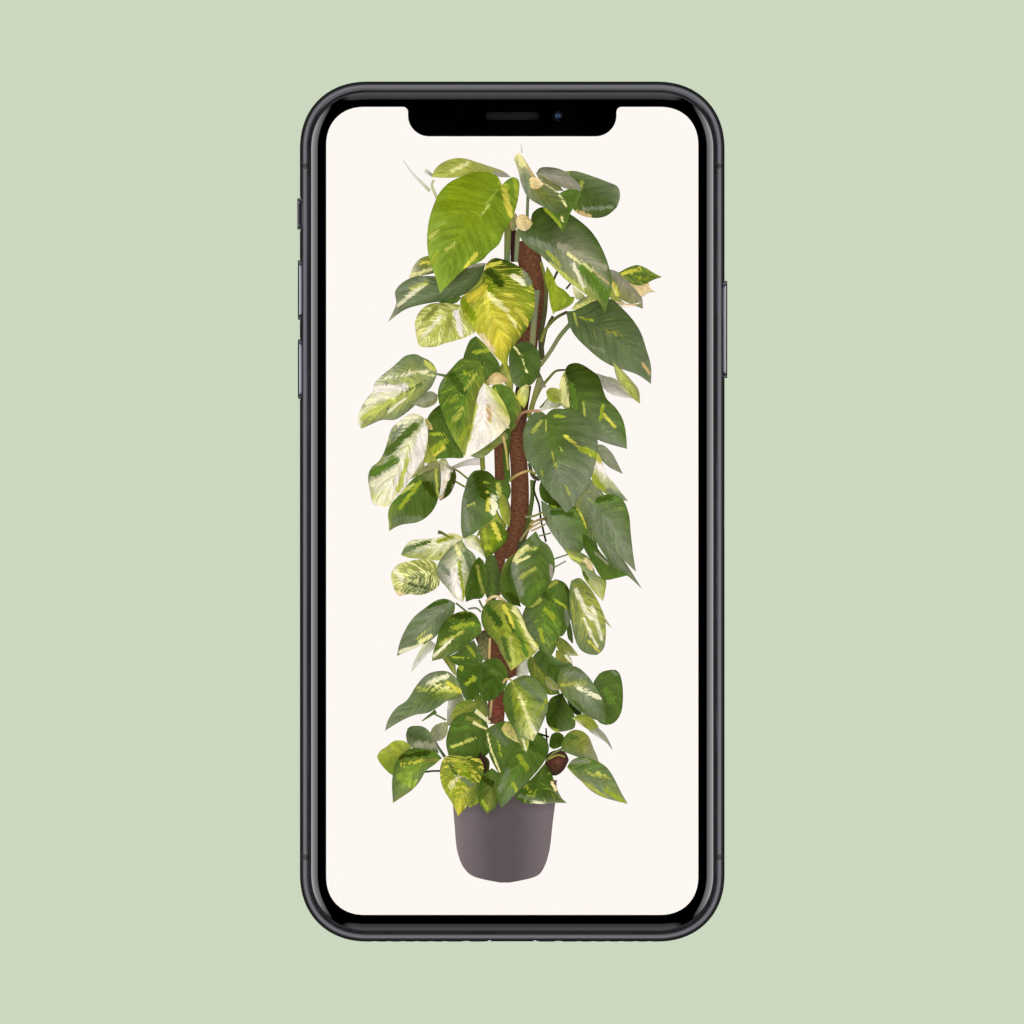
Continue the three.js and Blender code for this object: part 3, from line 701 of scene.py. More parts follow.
cap = keyCap(ringSwitch["length"], ringSwitch["width"], ringSwitch["stem"], ringSwitch["proud"],
             ringSwitch["side"], ringSwitch["y"], middleZ + ringSwitch["travel"] / 2)
finishPiece(cap, "ring_slider_cap", [satinSteel, siliconeSealAndGapShade], ["ring_switch"],
            "ring_slider", sharp=20)

# tray: a face that follows the band, on a plate with a window for the card
place = onSide(1, tray["y"], middleZ, tray["depth"])
bm = bmesh.new()
pill(bm, tray["length"], tray["width"], 0, tray["depth"] - tray["slack"], place=place)
bow(bm, middleZ, tray["width"], 1, sideX - tray["depth"] / 2)
plate = bmesh.new()
halfPlate = tray["plateLength"] / 2
inside = sideX - tray["reach"]
block(plate, (inside, tray["y"] - halfPlate, middleZ - tray["plateWidth"] / 2),
      (sideX - tray["depth"] + tray["plateRoot"], tray["y"] + halfPlate, middleZ + tray["plateWidth"] / 2),
      rim=tray["plateEdge"])
bm = carve(bm, plate, "UNION")
cutter = bmesh.new()
pinHole = [(0, -tray["holeDepth"]), (tray["holeRadius"], -tray["holeDepth"]),
           (tray["holeRadius"], tray["holeDepth"]), (0, tray["holeDepth"])]
turned(cutter, pinHole, place @ Matrix.Translation(
    Vector((tray["holeOffset"] - tray["length"] / 2, 0, 0)) * mm), 24)
block(cutter, (inside + tray["window"][0], tray["y"] - tray["windowHalf"], middleZ - tray["plateWidth"]),
      (inside + tray["window"][1], tray["y"] + tray["windowHalf"], middleZ + tray["plateWidth"]))
finishPiece(carve(bm, cutter), "card_tray_face", satinSteel, ["card_tray"], "tray", sharp=28)


print("screen, border and notch")

screen = dict(
    width=62.12, length=134.9, reach=6.5, profile=0.535, raised=0.12,  # the lit area sits a touch high
    notchWidth=34.8, notchDepth=4.92, notchRound=3.5, shoulder=0.85, notchBeyond=3,
    panelTop=frontZ - 0.87, panelThickness=0.88, panelMargin=0.4,
    inkTop=frontZ - 0.77, inkThickness=0.08, inkGap=0.03,
    strength=1.09,  # makes up for what the glass takes
)
lens = dict(x=7.65, y=earpiece["y"], opening=0.91, dome=1.0, rim=0.56, domeSteps=10, domeThickness=0.05,
            seat=7.41, case=(2.45, 2.5), caseHeights=(4.4, 6.6), caseEdge=0.15)


def litArea(grow, fromZ, toZ):
    # a soft rectangle with the notch let into its top edge
    bm = bmesh.new()
    drawn = roundedFace(bm, screen["width"] + 2 * grow, screen["length"] + 2 * grow, screen["reach"] + grow,
                        fromZ, screen["profile"], at=(0, screen["raised"]))
    liftFace(bm, drawn, toZ - fromZ)
    top = screen["raised"] + screen["length"] / 2 + grow
    beyond = screen["notchBeyond"]
    half = screen["notchWidth"] / 2 - grow
    foot = top - screen["notchDepth"]
    notch = bmesh.new()
    outline = [(half + beyond, top + beyond), (-half - beyond, top + beyond), (-half - beyond, top),
               (-half, top), (-half, foot), (half, foot), (half, top), (half + beyond, top)]
    corners = [notch.verts.new((x * mm, y * mm, (fromZ - 1) * mm)) for x, y in outline]
    notch.faces.new(corners)
    shoulders, feet = corners[3:7:3], corners[4:6]
    for pair, radius in ((shoulders, screen["shoulder"]), (feet, screen["notchRound"])):
        bmesh.ops.bevel(notch, geom=pair, affect="VERTICES", offset=radius * mm, segments=16, profile=0.5,
                        material=-1, clamp_overlap=True)
    liftFace(notch, notch.faces[:][0], toZ - fromZ + 2)
    return carve(bm, notch)


# display panel, lit: its picture's pale ground, hardly uneven
litPanel = bpy.data.materials.new("emittingDisplay")
litPanel.use_nodes = True
tree = litPanel.node_tree
tree.nodes.clear()
place = addNode(tree, "TexCoord").outputs["Object"]
drift = addNode(tree, "TexNoise", {"Vector": place, "Scale": 1 / (40 * mm), "Detail": 1.0})
ground = addNode(tree, "ValToRGB", {0: drift})
ground.color_ramp.elements[0].color = linearColour("#fdf7f1")
ground.color_ramp.elements[1].color = linearColour("#fdf7f3")
shown = addNode(tree, "Emission", {"Color": ground, "Strength": screen["strength"]})
addNode(tree, "OutputMaterial", {"Surface": shown})
panel = litArea(screen["panelMargin"], screen["panelTop"] - screen["panelThickness"], screen["panelTop"])
finishPiece(panel, "lit_panel", litPanel, ["screen_panel"])

bm = bmesh.new()
inkFace = bodyFace(bm, phone["wallInset"] + screen["inkGap"], screen["inkTop"] - screen["inkThickness"])
liftFace(bm, inkFace, screen["inkThickness"])
bm = carve(bm, litArea(0, *frontCut))
cutter = bmesh.new()
pill(cutter, earpiece["length"], earpiece["width"], *frontCut, at=(0, earpiece["y"]))
pill(cutter, 2 * lens["opening"], 2 * lens["opening"], *frontCut, at=(lens["x"], lens["y"]))
finishPiece(carve(bm, cutter), "black_border", printedInk, ["border_film"])

# front camera: a stepped black cone round a small blue coated dome
bm = bmesh.new()
halfWidth, halfLength = lens["case"]
block(bm, (lens["x"] - halfWidth, lens["y"] - halfLength, lens["caseHeights"][0]),
      (lens["x"] + halfWidth, lens["y"] + halfLength, lens["caseHeights"][1]), rim=lens["caseEdge"])
cone = [(0, 6.5), (1.9, 6.5), (1.9, 8.0), (0.88, 8.0), (0.85, 7.95), (0.83, 7.7), (0.74, 7.68),
        (0.72, 7.56), (0.62, 7.54), (0.6, 7.4), (0, 7.4)]  # radius and height
turned(bm, cone, Matrix.Translation(Vector((lens["x"], lens["y"], 0)) * mm))
finishPiece(bm, "camera_cone", anodisedBlack, ["front_camera"])
sag = lens["dome"] - math.sqrt(lens["dome"] ** 2 - lens["rim"] ** 2)
spread = math.asin(lens["rim"] / lens["dome"])
dome = []
for step in range(lens["domeSteps"] + 1):
    turn = spread * step / lens["domeSteps"]
    dome.append((lens["dome"] * math.sin(turn), lens["dome"] * (math.cos(turn) - 1)))
under = sag + lens["domeThickness"]
bm = bmesh.new()
turned(bm, dome + [(lens["rim"], -under), (0, -under)],
       Matrix.Translation(Vector((lens["x"], lens["y"], lens["seat"] + under)) * mm))
finishPiece(bm, "camera_dome", coatedLens)


print("picture of the plant")

# the plant is laid out on a sheet of small squares, counted to the right and down from the sheet's corner
sheet = dict(
    square=0.16696, middle=(512.24, 511.6),  # a square in mm, and the square over the body's middle
    lowest=screen["panelTop"] + 0.004, highest=frontZ - phone["glassThickness"] - 0.008,
    net=2.2, alongLimits=(8, 64), acrossLimits=(2, 22),  # how close a shape's points stand, how few or many
    cell=4, stride=3,  # the patches that tell what overlaps, and the steps in which they are found
    markPeak=1.1, markFall=1.2,  # a streak's strength along its middle, and what it loses by its full width
    shadow=0.4, shadowReach=(3.5, 8.0), shadowShift=1.5, shadowRays=8,
)
inks = dict(
    shade="#232c10", night="#36450f", deep="#415a1c", moss="#4b5a30", leaf="#546a2b",
    grass="#5e7d2c", fresh="#768e26", meadow="#8ca53c", acid="#7c9018", lime="#9aa832", olive="#82863a",
    sea="#626f48", sage="#6c7b52", silver="#7d8668", ash="#969678", stone="#9a9584", khaki="#8c8a5a",
    pear="#a5aa4b", paleLime="#bec35e", gold="#cdbe3c", yellow="#d4cc4e", butter="#e6e196", cream="#ebe6be",
    milk="#f5ebde", straw="#cdaf74", peach="#f0d7a0", tan="#c8a578", umber="#4b4b30", bark="#6a4530",
    cocoa="#3c2323", rust="#7a4034", mist="#dddccc", celery="#cccd9e", pot="#5f5557", potLight="#6b6064",
    potSide="#776b6d", potEdge="#8c7d7c",
)
inks = {name: Vector(linearColour(code)[:3]) for name, code in inks.items()}
drawn = []  # back to front


def spots(text):
    return [Vector([float(number) for number in pair.split(",")]) for pair in text.split()]


def within(value, low, high):
    return min(max(value, low), high)


def evenLine(points, count):
    # a smooth curve through the points, cut into equal lengths
    padded = [points[0]] + points + [points[-1]]
    curve = [points[0]]
    for before, start, end, after in zip(padded, padded[1:], padded[2:], padded[3:]):
        handles = start + (end - before) / 6, end - (after - start) / 6
        curve += interpolate_bezier(start, *handles, end, 9)[1:]
    passed = [0.0]
    for start, end in zip(curve, curve[1:]):
        passed.append(passed[-1] + (end - start).length)
    line, place = [], 0
    for step in range(count + 1):
        wanted = passed[-1] * step / count
        while passed[place + 1] < wanted and place < len(curve) - 2:
            place += 1
        stretch = max(passed[place + 1] - passed[place], 1e-6)
        line.append(curve[place].lerp(curve[place + 1], (wanted - passed[place]) / stretch))
    return line


def blend(stops, share):
    # stops is a list of inks spread evenly over 0 to 1
    place = within(share, 0, 1) * (len(stops) - 1)
    first = min(int(place), max(len(stops) - 2, 0))
    return stops[first].lerp(stops[min(first + 1, len(stops) - 1)], place - first)


def readMark(text):
    # "cream 412,272>440,270 5" is a streak between two spots and its width, and "yellow 0.3" flecks the
    # whole leaf
    words = text.split()
    ends = spots(words[1].replace(">", " ")) if len(words) == 3 else None
    return inks[words[0]], ends, float(words[-1])


def addShape(piece, sides, ribs, tones, marks=(), between=None):
    # tones run from one side to the other, or from one column of the sheet to another, and "leaf>sage"
    # turns from the first into the second along the shape
    length = sum((end - start).length for start, end in zip(ribs, ribs[1:]))
    width = max((a - b).length for a, b in zip(evenLine(sides[0], 8), evenLine(sides[1], 8)))
    along = within(round(length / sheet["net"]), *sheet["alongLimits"])
    across = 2 * within(round(width / sheet["net"] / 2), *sheet["acrossLimits"])
    lines = [evenLine(line, along) for line in (sides[0], ribs, sides[1])]
    drawn.append(dict(
        piece=piece, lines=lines, along=along, across=across, length=length,
        tones=[[inks[name] for name in tone.split(">")] for tone in tones.split()],
        marks=[readMark(mark) for mark in marks], between=between,
    ))


def leaf(rib, sideA, sideB, tones, *marks):
    # the rib runs from stalk to tip, each side is the leaf's edge between them
    rib = spots(rib)
    sides = [[rib[0]] + spots(side) + [rib[-1]] for side in (sideA, sideB)]
    addShape("leaves", sides, rib, tones, marks)


def strand(points, start, end, tones, piece="stalks"):
    # a stalk, drawn as a band that changes from one width to the other
    points = spots(points)
    sides = [[], []]
    for place, point in enumerate(points):
        before, after = points[max(place - 1, 0)], points[min(place + 1, len(points) - 1)]
        normal = Vector((after.y - before.y, before.x - after.x)).normalized()
        half = (start + (end - start) * place / (len(points) - 1)) / 2
        sides[0].append(point - normal * half)
        sides[1].append(point + normal * half)
    addShape(piece, sides, points, tones)


# pole, pot and the growth behind the leaves
strand("526,240 532,275 533,300 528,330 525,360", 24, 22, "bark", "pole")
strand("524,385 520,410 517,440 519,465 520,490 519,515 514,538 503,557", 15, 20, "cocoa>bark>bark>bark",
     "pole")
strand("501,548 499,570 498,598", 14, 3, "bark", "pole")
strand("499,430 500,455 501,484", 11, 12, "bark", "pole")
strand("484,630 492,652 506,672 518,668", 22, 12, "bark", "pole")
strand("484,632 482,660", 12, 10, "umber>khaki", "pole")
strand("497,690 496,724", 18, 16, "bark>rust>bark", "pole")
potLeft = spots("451,780 452.5,800 454.5,825 457,850 463.6,867.5 475,877 500,882.6")
potRight = spots("557,780 555.5,800 552.5,825 549.5,850 543.5,868.5 534.5,877 510,882.6")
addShape("pot", [potLeft, potRight], [a.lerp(b, 0.5) for a, b in zip(potLeft, potRight)],
         "potEdge potSide potLight pot pot pot potLight potSide potSide", between=(452, 556))
strand("513,228 513,262", 5, 5, "cocoa")
strand("508,222 507,262", 7, 6, "olive>sage")
strand("518,230 516,262", 5, 4, "khaki>silver")
strand("528,195 527,222", 3, 3, "sage")
strand("541,262 546,285 545,310 541,335 542,360", 3, 6, "olive>umber>umber")
strand("537,290 534,320 532,350", 6, 6, "silver>khaki")
strand("559,268 553,281", 2.5, 2.5, "umber")
strand("571,283 566,289", 2, 2, "umber")
strand("553,316 546,330 542,350", 3, 3, "umber")
strand("567,312 556,318 546,329 541,342", 3, 3.5, "umber>olive")
strand("572,322 560,336 550,352 540,366", 4.5, 4, "sage>khaki")
strand("566,370 556,371 549,378 541,388 534,402 528,418", 2, 4, "umber>olive>olive")
strand("538,372 543,388", 3, 7, "umber>ash")
strand("549,398 540,408", 2, 2, "sage")
strand("508,428 506,455 508,482", 7, 6, "leaf>deep>leaf")
strand("532,480 532,500 526,530 518,550", 4, 5, "leaf>umber")
strand("536,478 534,490 539,505 541,520 546,542", 2, 2, "shade")
strand("403,160 410,170 419,180 430,191", 0.8, 3.5, "mist>mist>celery")
strand("434,180 432,186 438,200", 2.5, 3, "celery")
strand("425,170 433,176", 4, 3, "mist>ash")
strand("521,144 522,153", 0.8, 2, "mist")
strand("437,374 446,376", 2, 3, "sage")
strand("450,467 458,471 468,479", 2, 2, "olive")
strand("453,480 465,487", 2, 2, "olive")
strand("452,468 466,463 480,461", 3, 8, "stone>milk")
strand("482,455 483,470", 5, 5, "olive")

# leaves deep in the shade behind the others
leaf("516,213 513,221 512,231", "511,216 510,224", "518,219 517,228", "pear>straw khaki khaki")
leaf("536,173 548,182 564,191", "543,174 556,182", "541,182 552,190", "ash khaki>olive ash")
leaf("572,286 578,295 586,298", "577,289 583,294", "574,294 578,300",
     "butter>butter>olive cream>olive butter>olive")
leaf("575,297 566,303 554,312", "570,297 560,303", "572,304 562,310", "acid>pear acid pear")
leaf("610,286 614,296 626,304", "614,289 618,297", "609,295 613,302 620,305", "pear pear pear>khaki")
leaf("462,297 450,301 438,303", "455,297 446,299", "456,303 446,304", "leaf grass leaf")
leaf("454,309 458,322 463,335", "451,318 456,330", "459,315 463,326", "pear>butter pear pear>butter")
leaf("502,363 508,374 513,391", "499,372 505,384", "509,366 513,378",
     "leaf>olive>pear olive>paleLime>olive leaf>olive")
leaf("562,405 552,402 540,412", "556,399 548,399", "557,408 548,409", "pear>mist ash>mist pear>milk")
leaf("427,432 431,446 438,462", "424,446 420,458 428,464", "432,440 436,450",
     "lime>paleLime lime>pear lime>cream")
leaf("424,458 417,468 409,480", "418,462 411,472", "424,468 416,476", "cream>butter cream>pear olive")
leaf("541,481 545,492 547,504", "539,488 541,498", "547,490 549,498", "leaf>deep deep deep")
leaf("497,509 492,520 476,537", "492,513 482,524", "500,516 507,528 492,528 484,533",
     "pear>silver paleLime>olive leaf>olive", "lime 0.4")
leaf("590,478 584,505 592,532 598,548", "580,490 574,504 580,520 588,538",
     "598,488 604,496 596,510 592,525 596,540", "paleLime>sage>sage silver>sage>moss ash>silver>moss",
     "pear 0.3")
leaf("570,621 569,632 573,644", "567,628 568,638", "572,630 573,638", "deep moss deep")
leaf("441,657 448,662 456,676", "448,654 455,663", "445,662 452,672", "leaf>sage olive>pear leaf")
leaf("531,657 522,664 516,676", "524,657 517,664", "531,668 524,678", "umber>bark mist>khaki milk>mist")
leaf("531,656 541,676 560,694", "527,664 534,682 546,694", "538,660 546,672 556,684",
     "leaf>leaf olive>leaf leaf>umber", "lime 0.3")
leaf("479,694 482,706 487,718", "474,700 478,712", "486,700 489,710", "olive>leaf leaf>olive sage>umber")
leaf("567,700 574,708 582,714", "572,702 578,708", "570,708 576,715", "night shade night")
strand("540,378 536,392 531,410", 6, 5, "khaki>olive")
strand("529,463 533,476 540,479", 3, 5, "umber")
strand("533,520 527,532 524,542", 4, 3, "olive>umber")

# crown
leaf("511,177 470,171 432,177", "503,171 492,167 480,163 467,159 458,158 448,160 439,165 434,171",
     "500,177 485,173 472,174 460,177 446,178", "ash>pear>pear pear>pear>paleLime stone>pear>paleLime",
     "butter 452,171>468,163 4", "stone 508,175>494,174 5", "olive 0.3")
leaf("560,172 590,192 617,207", "575,171 592,176 608,182 618,187 620,197",
     "566,182 573,196 573,209 583,216 597,218 608,215", "sage>sage>silver leaf>moss pear>leaf>moss",
     "lime 567,173>569,180 4", "pear 582,182>576,198 4", "silver 584,209>612,207 4",
     "straw 573,211>590,217 4")
leaf("536,174 560,178 582,191", "540,168 548,167 560,169 570,175 579,184", "543,177 555,184 570,190",
     "umber>ash stone>ash khaki>ash", "stone 545,174>578,185 5")
leaf("606,269 625,284 643,309", "616,271 629,279 637,288 642,298", "610,278 612,287 616,296 626,302",
     "stone>stone stone>khaki khaki>olive>ash", "yellow 613,283>619,297 3", "butter 610,281>615,296 3")
leaf("611,301 625,305 641,302", "620,302 630,304", "618,307 632,307", "milk mist>milk",
     "straw 612,303>638,305 2")
leaf("629,284 645,288 656,292", "640,282 648,282 650,288", "636,290 642,297 648,293",
     "straw>peach straw>peach>ash")
leaf("618,273 640,276 662,277", "627,268 637,265 646,268 654,273", "626,280 635,285 645,284 653,280",
     "leaf>grass>pear leaf khaki>leaf>leaf", "yellow 622,274>640,269 3", "lime 0.36")
leaf("547,266 556,288 553,315", "545,278 548,290 550,303",
     "553,276 557,286 563,289 569,295 571,300 564,306 558,309", "lime>acid acid>lime acid>fresh>fresh",
     "lime 0.36", "paleLime 551,309>553,314 2")
leaf("571,310 585,303 604,298", "577,302 590,295 598,294", "580,309 592,306",
     "khaki>pear paleLime paleLime", "sage 576,303>590,296 3", "butter 0.4")
leaf("566,311 600,330 632,354 651,384",
     "572,311 580,308 592,302 603,299 613,300 622,308 633,320 641,333 646,348 651,366",
     "569,325 576,337 588,349 600,359 612,366 624,370 638,375",
     "moss>moss>silver moss>sage moss>sage>silver", "lime 580,317>593,321 2", "olive 602,330>626,338 2",
     "straw 643,364>650,374 3", "silver 590,346>606,352 3", "pear 574,313>577,325 2", "olive 0.16")
leaf("522,224 545,236 566,252 590,272 604,288 605,313",
     "530,223 532,214 537,209 543,207 556,209 568,213 580,221 590,230 598,241 604,253 609,267 "
     "612,282 609,299",
     "517,230 522,240 530,248 540,255 548,262 556,270 566,280 577,288 588,296 598,301",
     "night>night>deep>leaf>grass deep>moss>ash>ash>grass sage>sage>sage>pear>grass",
     "ash 560,246>604,268 7", "butter 568,254>592,270 3", "cream 573,264>584,287 4",
     "grass 584,268>606,296 12", "paleLime 550,264>582,291 5", "pear 547,251>560,266 4",
     "straw 592,270>609,284 2", "silver 530,240>552,250 7")
leaf("516,224 524,220 533,223", "517,217 523,214 529,218", "519,229 525,231 530,228",
     "peach>straw>olive peach>straw straw>peach>khaki")
leaf("578,190 566,212 563,233", "566,190 552,199 543,208 550,216 557,224",
     "581,194 576,204 570,214 567,224", "grass>grass leaf grass>leaf", "lime 545,209>560,226 4",
     "butter 560,212>563,222 2")
leaf("518,153 524,172 538,190 553,201 568,210", "514,159 518,170 521,183 527,196 536,203 546,208 556,213",
     "524,158 530,168 537,178 548,185 558,192 566,200",
     "butter>stone>sage>moss ash>olive>moss cream>silver>leaf", "butter 518,154>523,164 7",
     "silver 524,176>528,192 5", "butter 545,184>558,192 2", "butter 558,192>566,206 2",
     "straw 528,166>534,176 3")
leaf("529,179 536,184 544,184", "532,177 538,178", "531,188 537,189 541,187",
     "peach>peach straw>straw>peach", "butter 0.3")
leaf("462,305 442,322 421,347", "444,303 430,304 420,311 415,322 416,334 418,344",
     "466,312 469,322 476,331 468,336 458,340 446,343 434,347",
     "olive>pear>butter pear>paleLime paleLime>pear", "cream 424,336>440,318 4", "milk 456,312>461,334 6",
     "olive 436,308>424,320 5", "pear 450,315>446,335 6", "butter 0.42")
leaf("440,268 424,268 409,278", "434,256 421,258 413,267", "434,273 420,276",
     "pear>olive>cream moss>sage", "butter 411,276>432,269 4", "yellow 420,264>432,262 3")
leaf("486,263 462,284 425,297 400,309 388,322",
     "474,264 462,270 448,278 432,276 414,277 402,283 395,292 396,304",
     "480,279 468,292 450,300 430,303 412,307 401,312",
     "umber>umber>sage>ash moss>sage>silver moss>moss>sage", "cream 398,305>424,285 4",
     "paleLime 428,282>412,290 3", "stone 470,266>484,262 6", "silver 400,290>424,279 5",
     "ash 396,310>389,320 4")
leaf("502,185 485,205 466,226 454,250 440,293",
     "497,176 486,172 475,172 463,176 450,182 440,192 434,204 429,220 427,240 429,258 435,276",
     "506,181 513,177 519,181 519,193 516,208 511,220 504,232 499,244 490,252 481,261 466,268 453,280",
     "acid>acid>meadow>meadow fresh>acid>fresh>meadow grass>fresh>fresh>meadow",
     "yellow 504,189>511,216 6", "lime 515,180>517,196 4", "lime 500,182>507,187 5",
     "acid 470,186>448,206 16", "meadow 432,226>444,222 5", "paleLime 430,238>438,230 3",
     "paleLime 446,250>456,243 3", "yellow 466,267>476,254 4", "lime 434,262>438,252 4",
     "paleLime 488,206>482,214 3", "meadow 497,190>486,206 2", "lime 0.2")
leaf("486,264 487,290 493,315 500,338 508,372",
     "484,270 478,282 470,290 461,298 461,308 466,320 473,328 480,337 487,346 496,357 503,364",
     "494,258 508,261 521,268 530,277 534,290 535,303 532,317 526,330 520,338 513,347 508,358",
     "leaf>olive>lime>gold>lime shade>acid>gold>gold>lime shade>deep>fresh>deep>acid",
     "butter 488,294>506,311 6", "butter 506,311>516,326 3", "cream 514,276>524,284 5",
     "silver 524,272>530,284 5", "yellow 484,268>500,262 4", "peach 482,336>492,350 6",
     "gold 470,300>484,288 8", "yellow 492,316>508,332 3", "yellow 516,310>528,322 4",
     "acid 464,302>474,318 7", "yellow 486,292>490,336 5", "night 488,270>500,284 8", "yellow 0.32")

# upper half
leaf("613,362 628,384 640,404", "622,370 633,382 639,391", "616,376 622,389 631,397",
     "khaki paleLime>pear ash>pear")
leaf("596,373 612,385 634,399", "605,376 617,380", "600,384 609,393 620,397",
     "silver>ash>butter stone stone>milk")
leaf("437,375 412,389 386,405 361,429",
     "436,368 430,361 422,357 415,354 405,356 398,362 390,369 381,376 374,384 373,391 367,398 "
     "361,408 358,420",
     "432,386 426,393 419,401 411,409 402,416 394,420 382,420 372,424",
     "sage>sage>cream>cream silver>paleLime>paleLime>pear sage>sage>silver>silver",
     "cream 386,378>428,371 3", "butter 408,370>434,376 2", "milk 374,390>404,388 8",
     "cream 366,402>398,392 7", "paleLime 362,418>394,400 5", "cream 388,412>406,398 3",
     "paleLime 426,363>434,369 6", "leaf 400,394>420,384 3", "sage 0.34")
leaf("438,395 426,401 412,404", "430,391 420,397", "436,403 425,408", "stone>sage>sage ash olive>ash")
leaf("441,404 440,430 436,459", "433,410 427,420 428,438 430,450", "449,428 456,442 464,457 450,458",
     "night>leaf>olive deep>leaf leaf>leaf>grass", "lime 430,434>444,434 3", "lime 430,452>446,441 6",
     "yellow 431,458>444,448 3")
leaf("476,336 484,360 490,385", "470,340 466,349 463,360 465,374 471,385",
     "483,342 492,353 499,363 500,371 496,378", "leaf>leaf>moss leaf lime>leaf>deep",
     "lime 474,352>491,350 4", "lime 470,380>482,368 3", "pear 464,364>474,370 2")
leaf("484,383 494,379 509,380", "490,376 497,372 504,376", "492,385 501,384",
     "leaf>straw>straw olive>peach>tan")
leaf("480,361 466,385 462,420 466,458",
     "463,358 451,369 442,380 438,391 439,403 443,414 448,427 455,441", "486,385 480,398 475,414 470,436",
     "leaf>leaf>grass>pear leaf>grass>grass>pear grass>olive>olive>paleLime", "pear 462,395>476,374 3",
     "lime 464,372>470,376 2", "pear 454,420>462,408 4", "lime 460,440>470,426 5",
     "deep 452,376>464,392 8", "lime 449,402>458,398 3", "sage 440,388>444,380 5", "lime 0.3")
leaf("502,384 512,402 511,432", "492,386 497,398 502,412", "510,388 517,396 521,406 520,418 516,426",
     "grass>grass>olive grass>leaf grass>olive>leaf", "yellow 511,384>519,398 4",
     "lime 494,388>500,400 3")
leaf("470,456 485,449 505,432", "478,449 490,441", "482,458 495,448 508,438",
     "grass>leaf ash>olive>khaki")
leaf("484,383 484,415 476,438 464,461", "479,392 475,408 472,424 468,442",
     "492,388 501,398 507,410 510,423 503,432 493,441 480,450 470,456",
     "milk>milk>cream milk>milk>milk paleLime>yellow>milk>milk", "paleLime 476,404>468,440 4",
     "paleLime 493,392>507,414 4", "tan 488,406>490,421 4", "butter 0.2")
leaf("513,345 524,365 520,388", "509,356 510,372 514,384",
     "521,342 531,343 539,352 541,365 538,376 531,385", "deep>sage deep>leaf moss>leaf",
     "butter 514,347>522,356 2", "butter 522,356>527,373 2")
leaf("520,388 525,396 524,409", "517,393 519,402", "528,384 529,394 527,402",
     "olive>yellow>leaf butter>lime butter>olive>pear")
leaf("565,371 580,396 600,424 627,449",
     "567,366 573,363 581,364 591,370 599,377 603,389 607,399 616,408 623,420 626,434",
     "561,378 559,390 560,402 567,412 575,424 588,434 603,442",
     "night>night>leaf>grass shade>leaf>sage>silver paleLime>leaf>sage>silver",
     "butter 561,380>566,404 8", "yellow 604,415>615,427 3", "lime 603,405>600,420 3",
     "pear 583,402>585,416 2", "grass 572,385>576,408 5", "silver 600,436>620,446 5")
leaf("546,392 553,395 562,402", "549,388 556,388 561,392", "548,399 555,403",
     "olive>pear>butter olive lime>lime>pear")
leaf("594,445 608,458 623,474", "603,445 612,453 618,464", "598,456 609,467",
     "silver>ash silver>ash sage>silver>ash")
leaf("571,441 598,464 628,501", "584,442 598,452 604,468 611,483 619,494",
     "578,456 590,473 594,485 606,494 616,499", "leaf>pear>sage yellow>cream>silver yellow>pear>silver",
     "yellow 590,448>598,462 7", "milk 594,462>610,476 8", "lime 592,474>606,492 4",
     "silver 606,490>624,499 6", "sage 600,448>606,456 4", "lime 0.3")
leaf("548,482 560,505 573,524", "546,494 550,508 560,518", "556,488 566,500 576,512",
     "night>deep night leaf", "lime 553,507>562,512 4")
leaf("541,500 560,530 574,562", "543,516 551,532 562,547", "555,508 575,506 586,524 587,542 580,553",
     "sage>silver sage>silver leaf>grass>leaf", "yellow 576,502>588,527 4", "deep 552,512>572,514 5",
     "silver 548,530>566,550 7")
leaf("588,500 603,540 642,589", "600,522 617,549 631,571", "590,526 601,550 615,568 629,577",
     "sage silver sage>leaf")
leaf("594,504 613,528 636,572", "598,497 612,494 623,500 629,515 631,535 633,553",
     "594,518 604,537 620,556", "grass>leaf>silver sage>silver silver>sage>ash",
     "olive 606,506>622,509 2", "deep 597,500>612,498 5", "silver 606,520>626,550 8")
leaf("546,415 556,450 560,485 566,513",
     "540,411 531,415 525,426 523,440 526,458 534,470 541,482 550,495 559,504",
     "553,409 565,409 578,412 589,421 596,434 598,448 595,465 590,480 581,494 574,505",
     "sea>sage>sage>silver leaf>leaf>sage>silver leaf>sea>silver>silver",
     "pear 532,432>541,421 4", "pear 546,420>546,432 2", "lime 555,416>564,417 3",
     "yellow 565,436>590,456 4", "lime 580,448>598,458 6", "paleLime 559,447>563,451 2",
     "lime 541,470>543,476 2", "sage 526,430>530,460 7", "silver 560,475>590,478 18",
     "pear 552,452>556,468 2", "pear 566,486>569,494 2")
leaf("424,418 405,452 380,506",
     "418,414 410,414 401,420 392,428 388,440 384,452 379,461 371,468 368,478 370,492 373,504",
     "428,430 427,446 424,458 418,467 411,478 404,488 395,498 388,506",
     "cream>silver>leaf>cream leaf>cream>milk>cream milk>milk>milk>butter",
     "cream 400,422>414,416 9", "silver 392,438>402,424 5", "leaf 388,452>414,426 9",
     "grass 372,474>396,460 8", "milk 412,470>424,432 9", "cream 374,484>396,472 9",
     "paleLime 398,490>408,460 5", "paleLime 0.34")
leaf("425,418 433,430 431,424", "428,420 431,424", "426,424 430,430", "olive>straw olive>straw")
leaf("449,465 446,482 440,501", "445,458 438,462 436,474 437,490", "455,470 456,480 450,494",
     "khaki>pear>ash milk>peach umber", "milk 441,474>440,492 7", "ash 441,463>450,467 4",
     "night 454,474>446,496 6")
leaf("440,464 420,488 402,511 389,531",
     "434,461 425,466 417,475 408,484 399,495 391,504 388,514 389,524",
     "441,478 440,491 436,505 429,515 418,522 401,525",
     "umber>leaf>grass>pear khaki>leaf>leaf>sage sage>deep>leaf>silver", "khaki 418,472>436,464 6",
     "lime 400,508>420,482 4", "paleLime 399,494>414,484 3", "pear 436,470>438,498 3",
     "night 426,484>434,494 8", "sage 394,520>420,519 6")
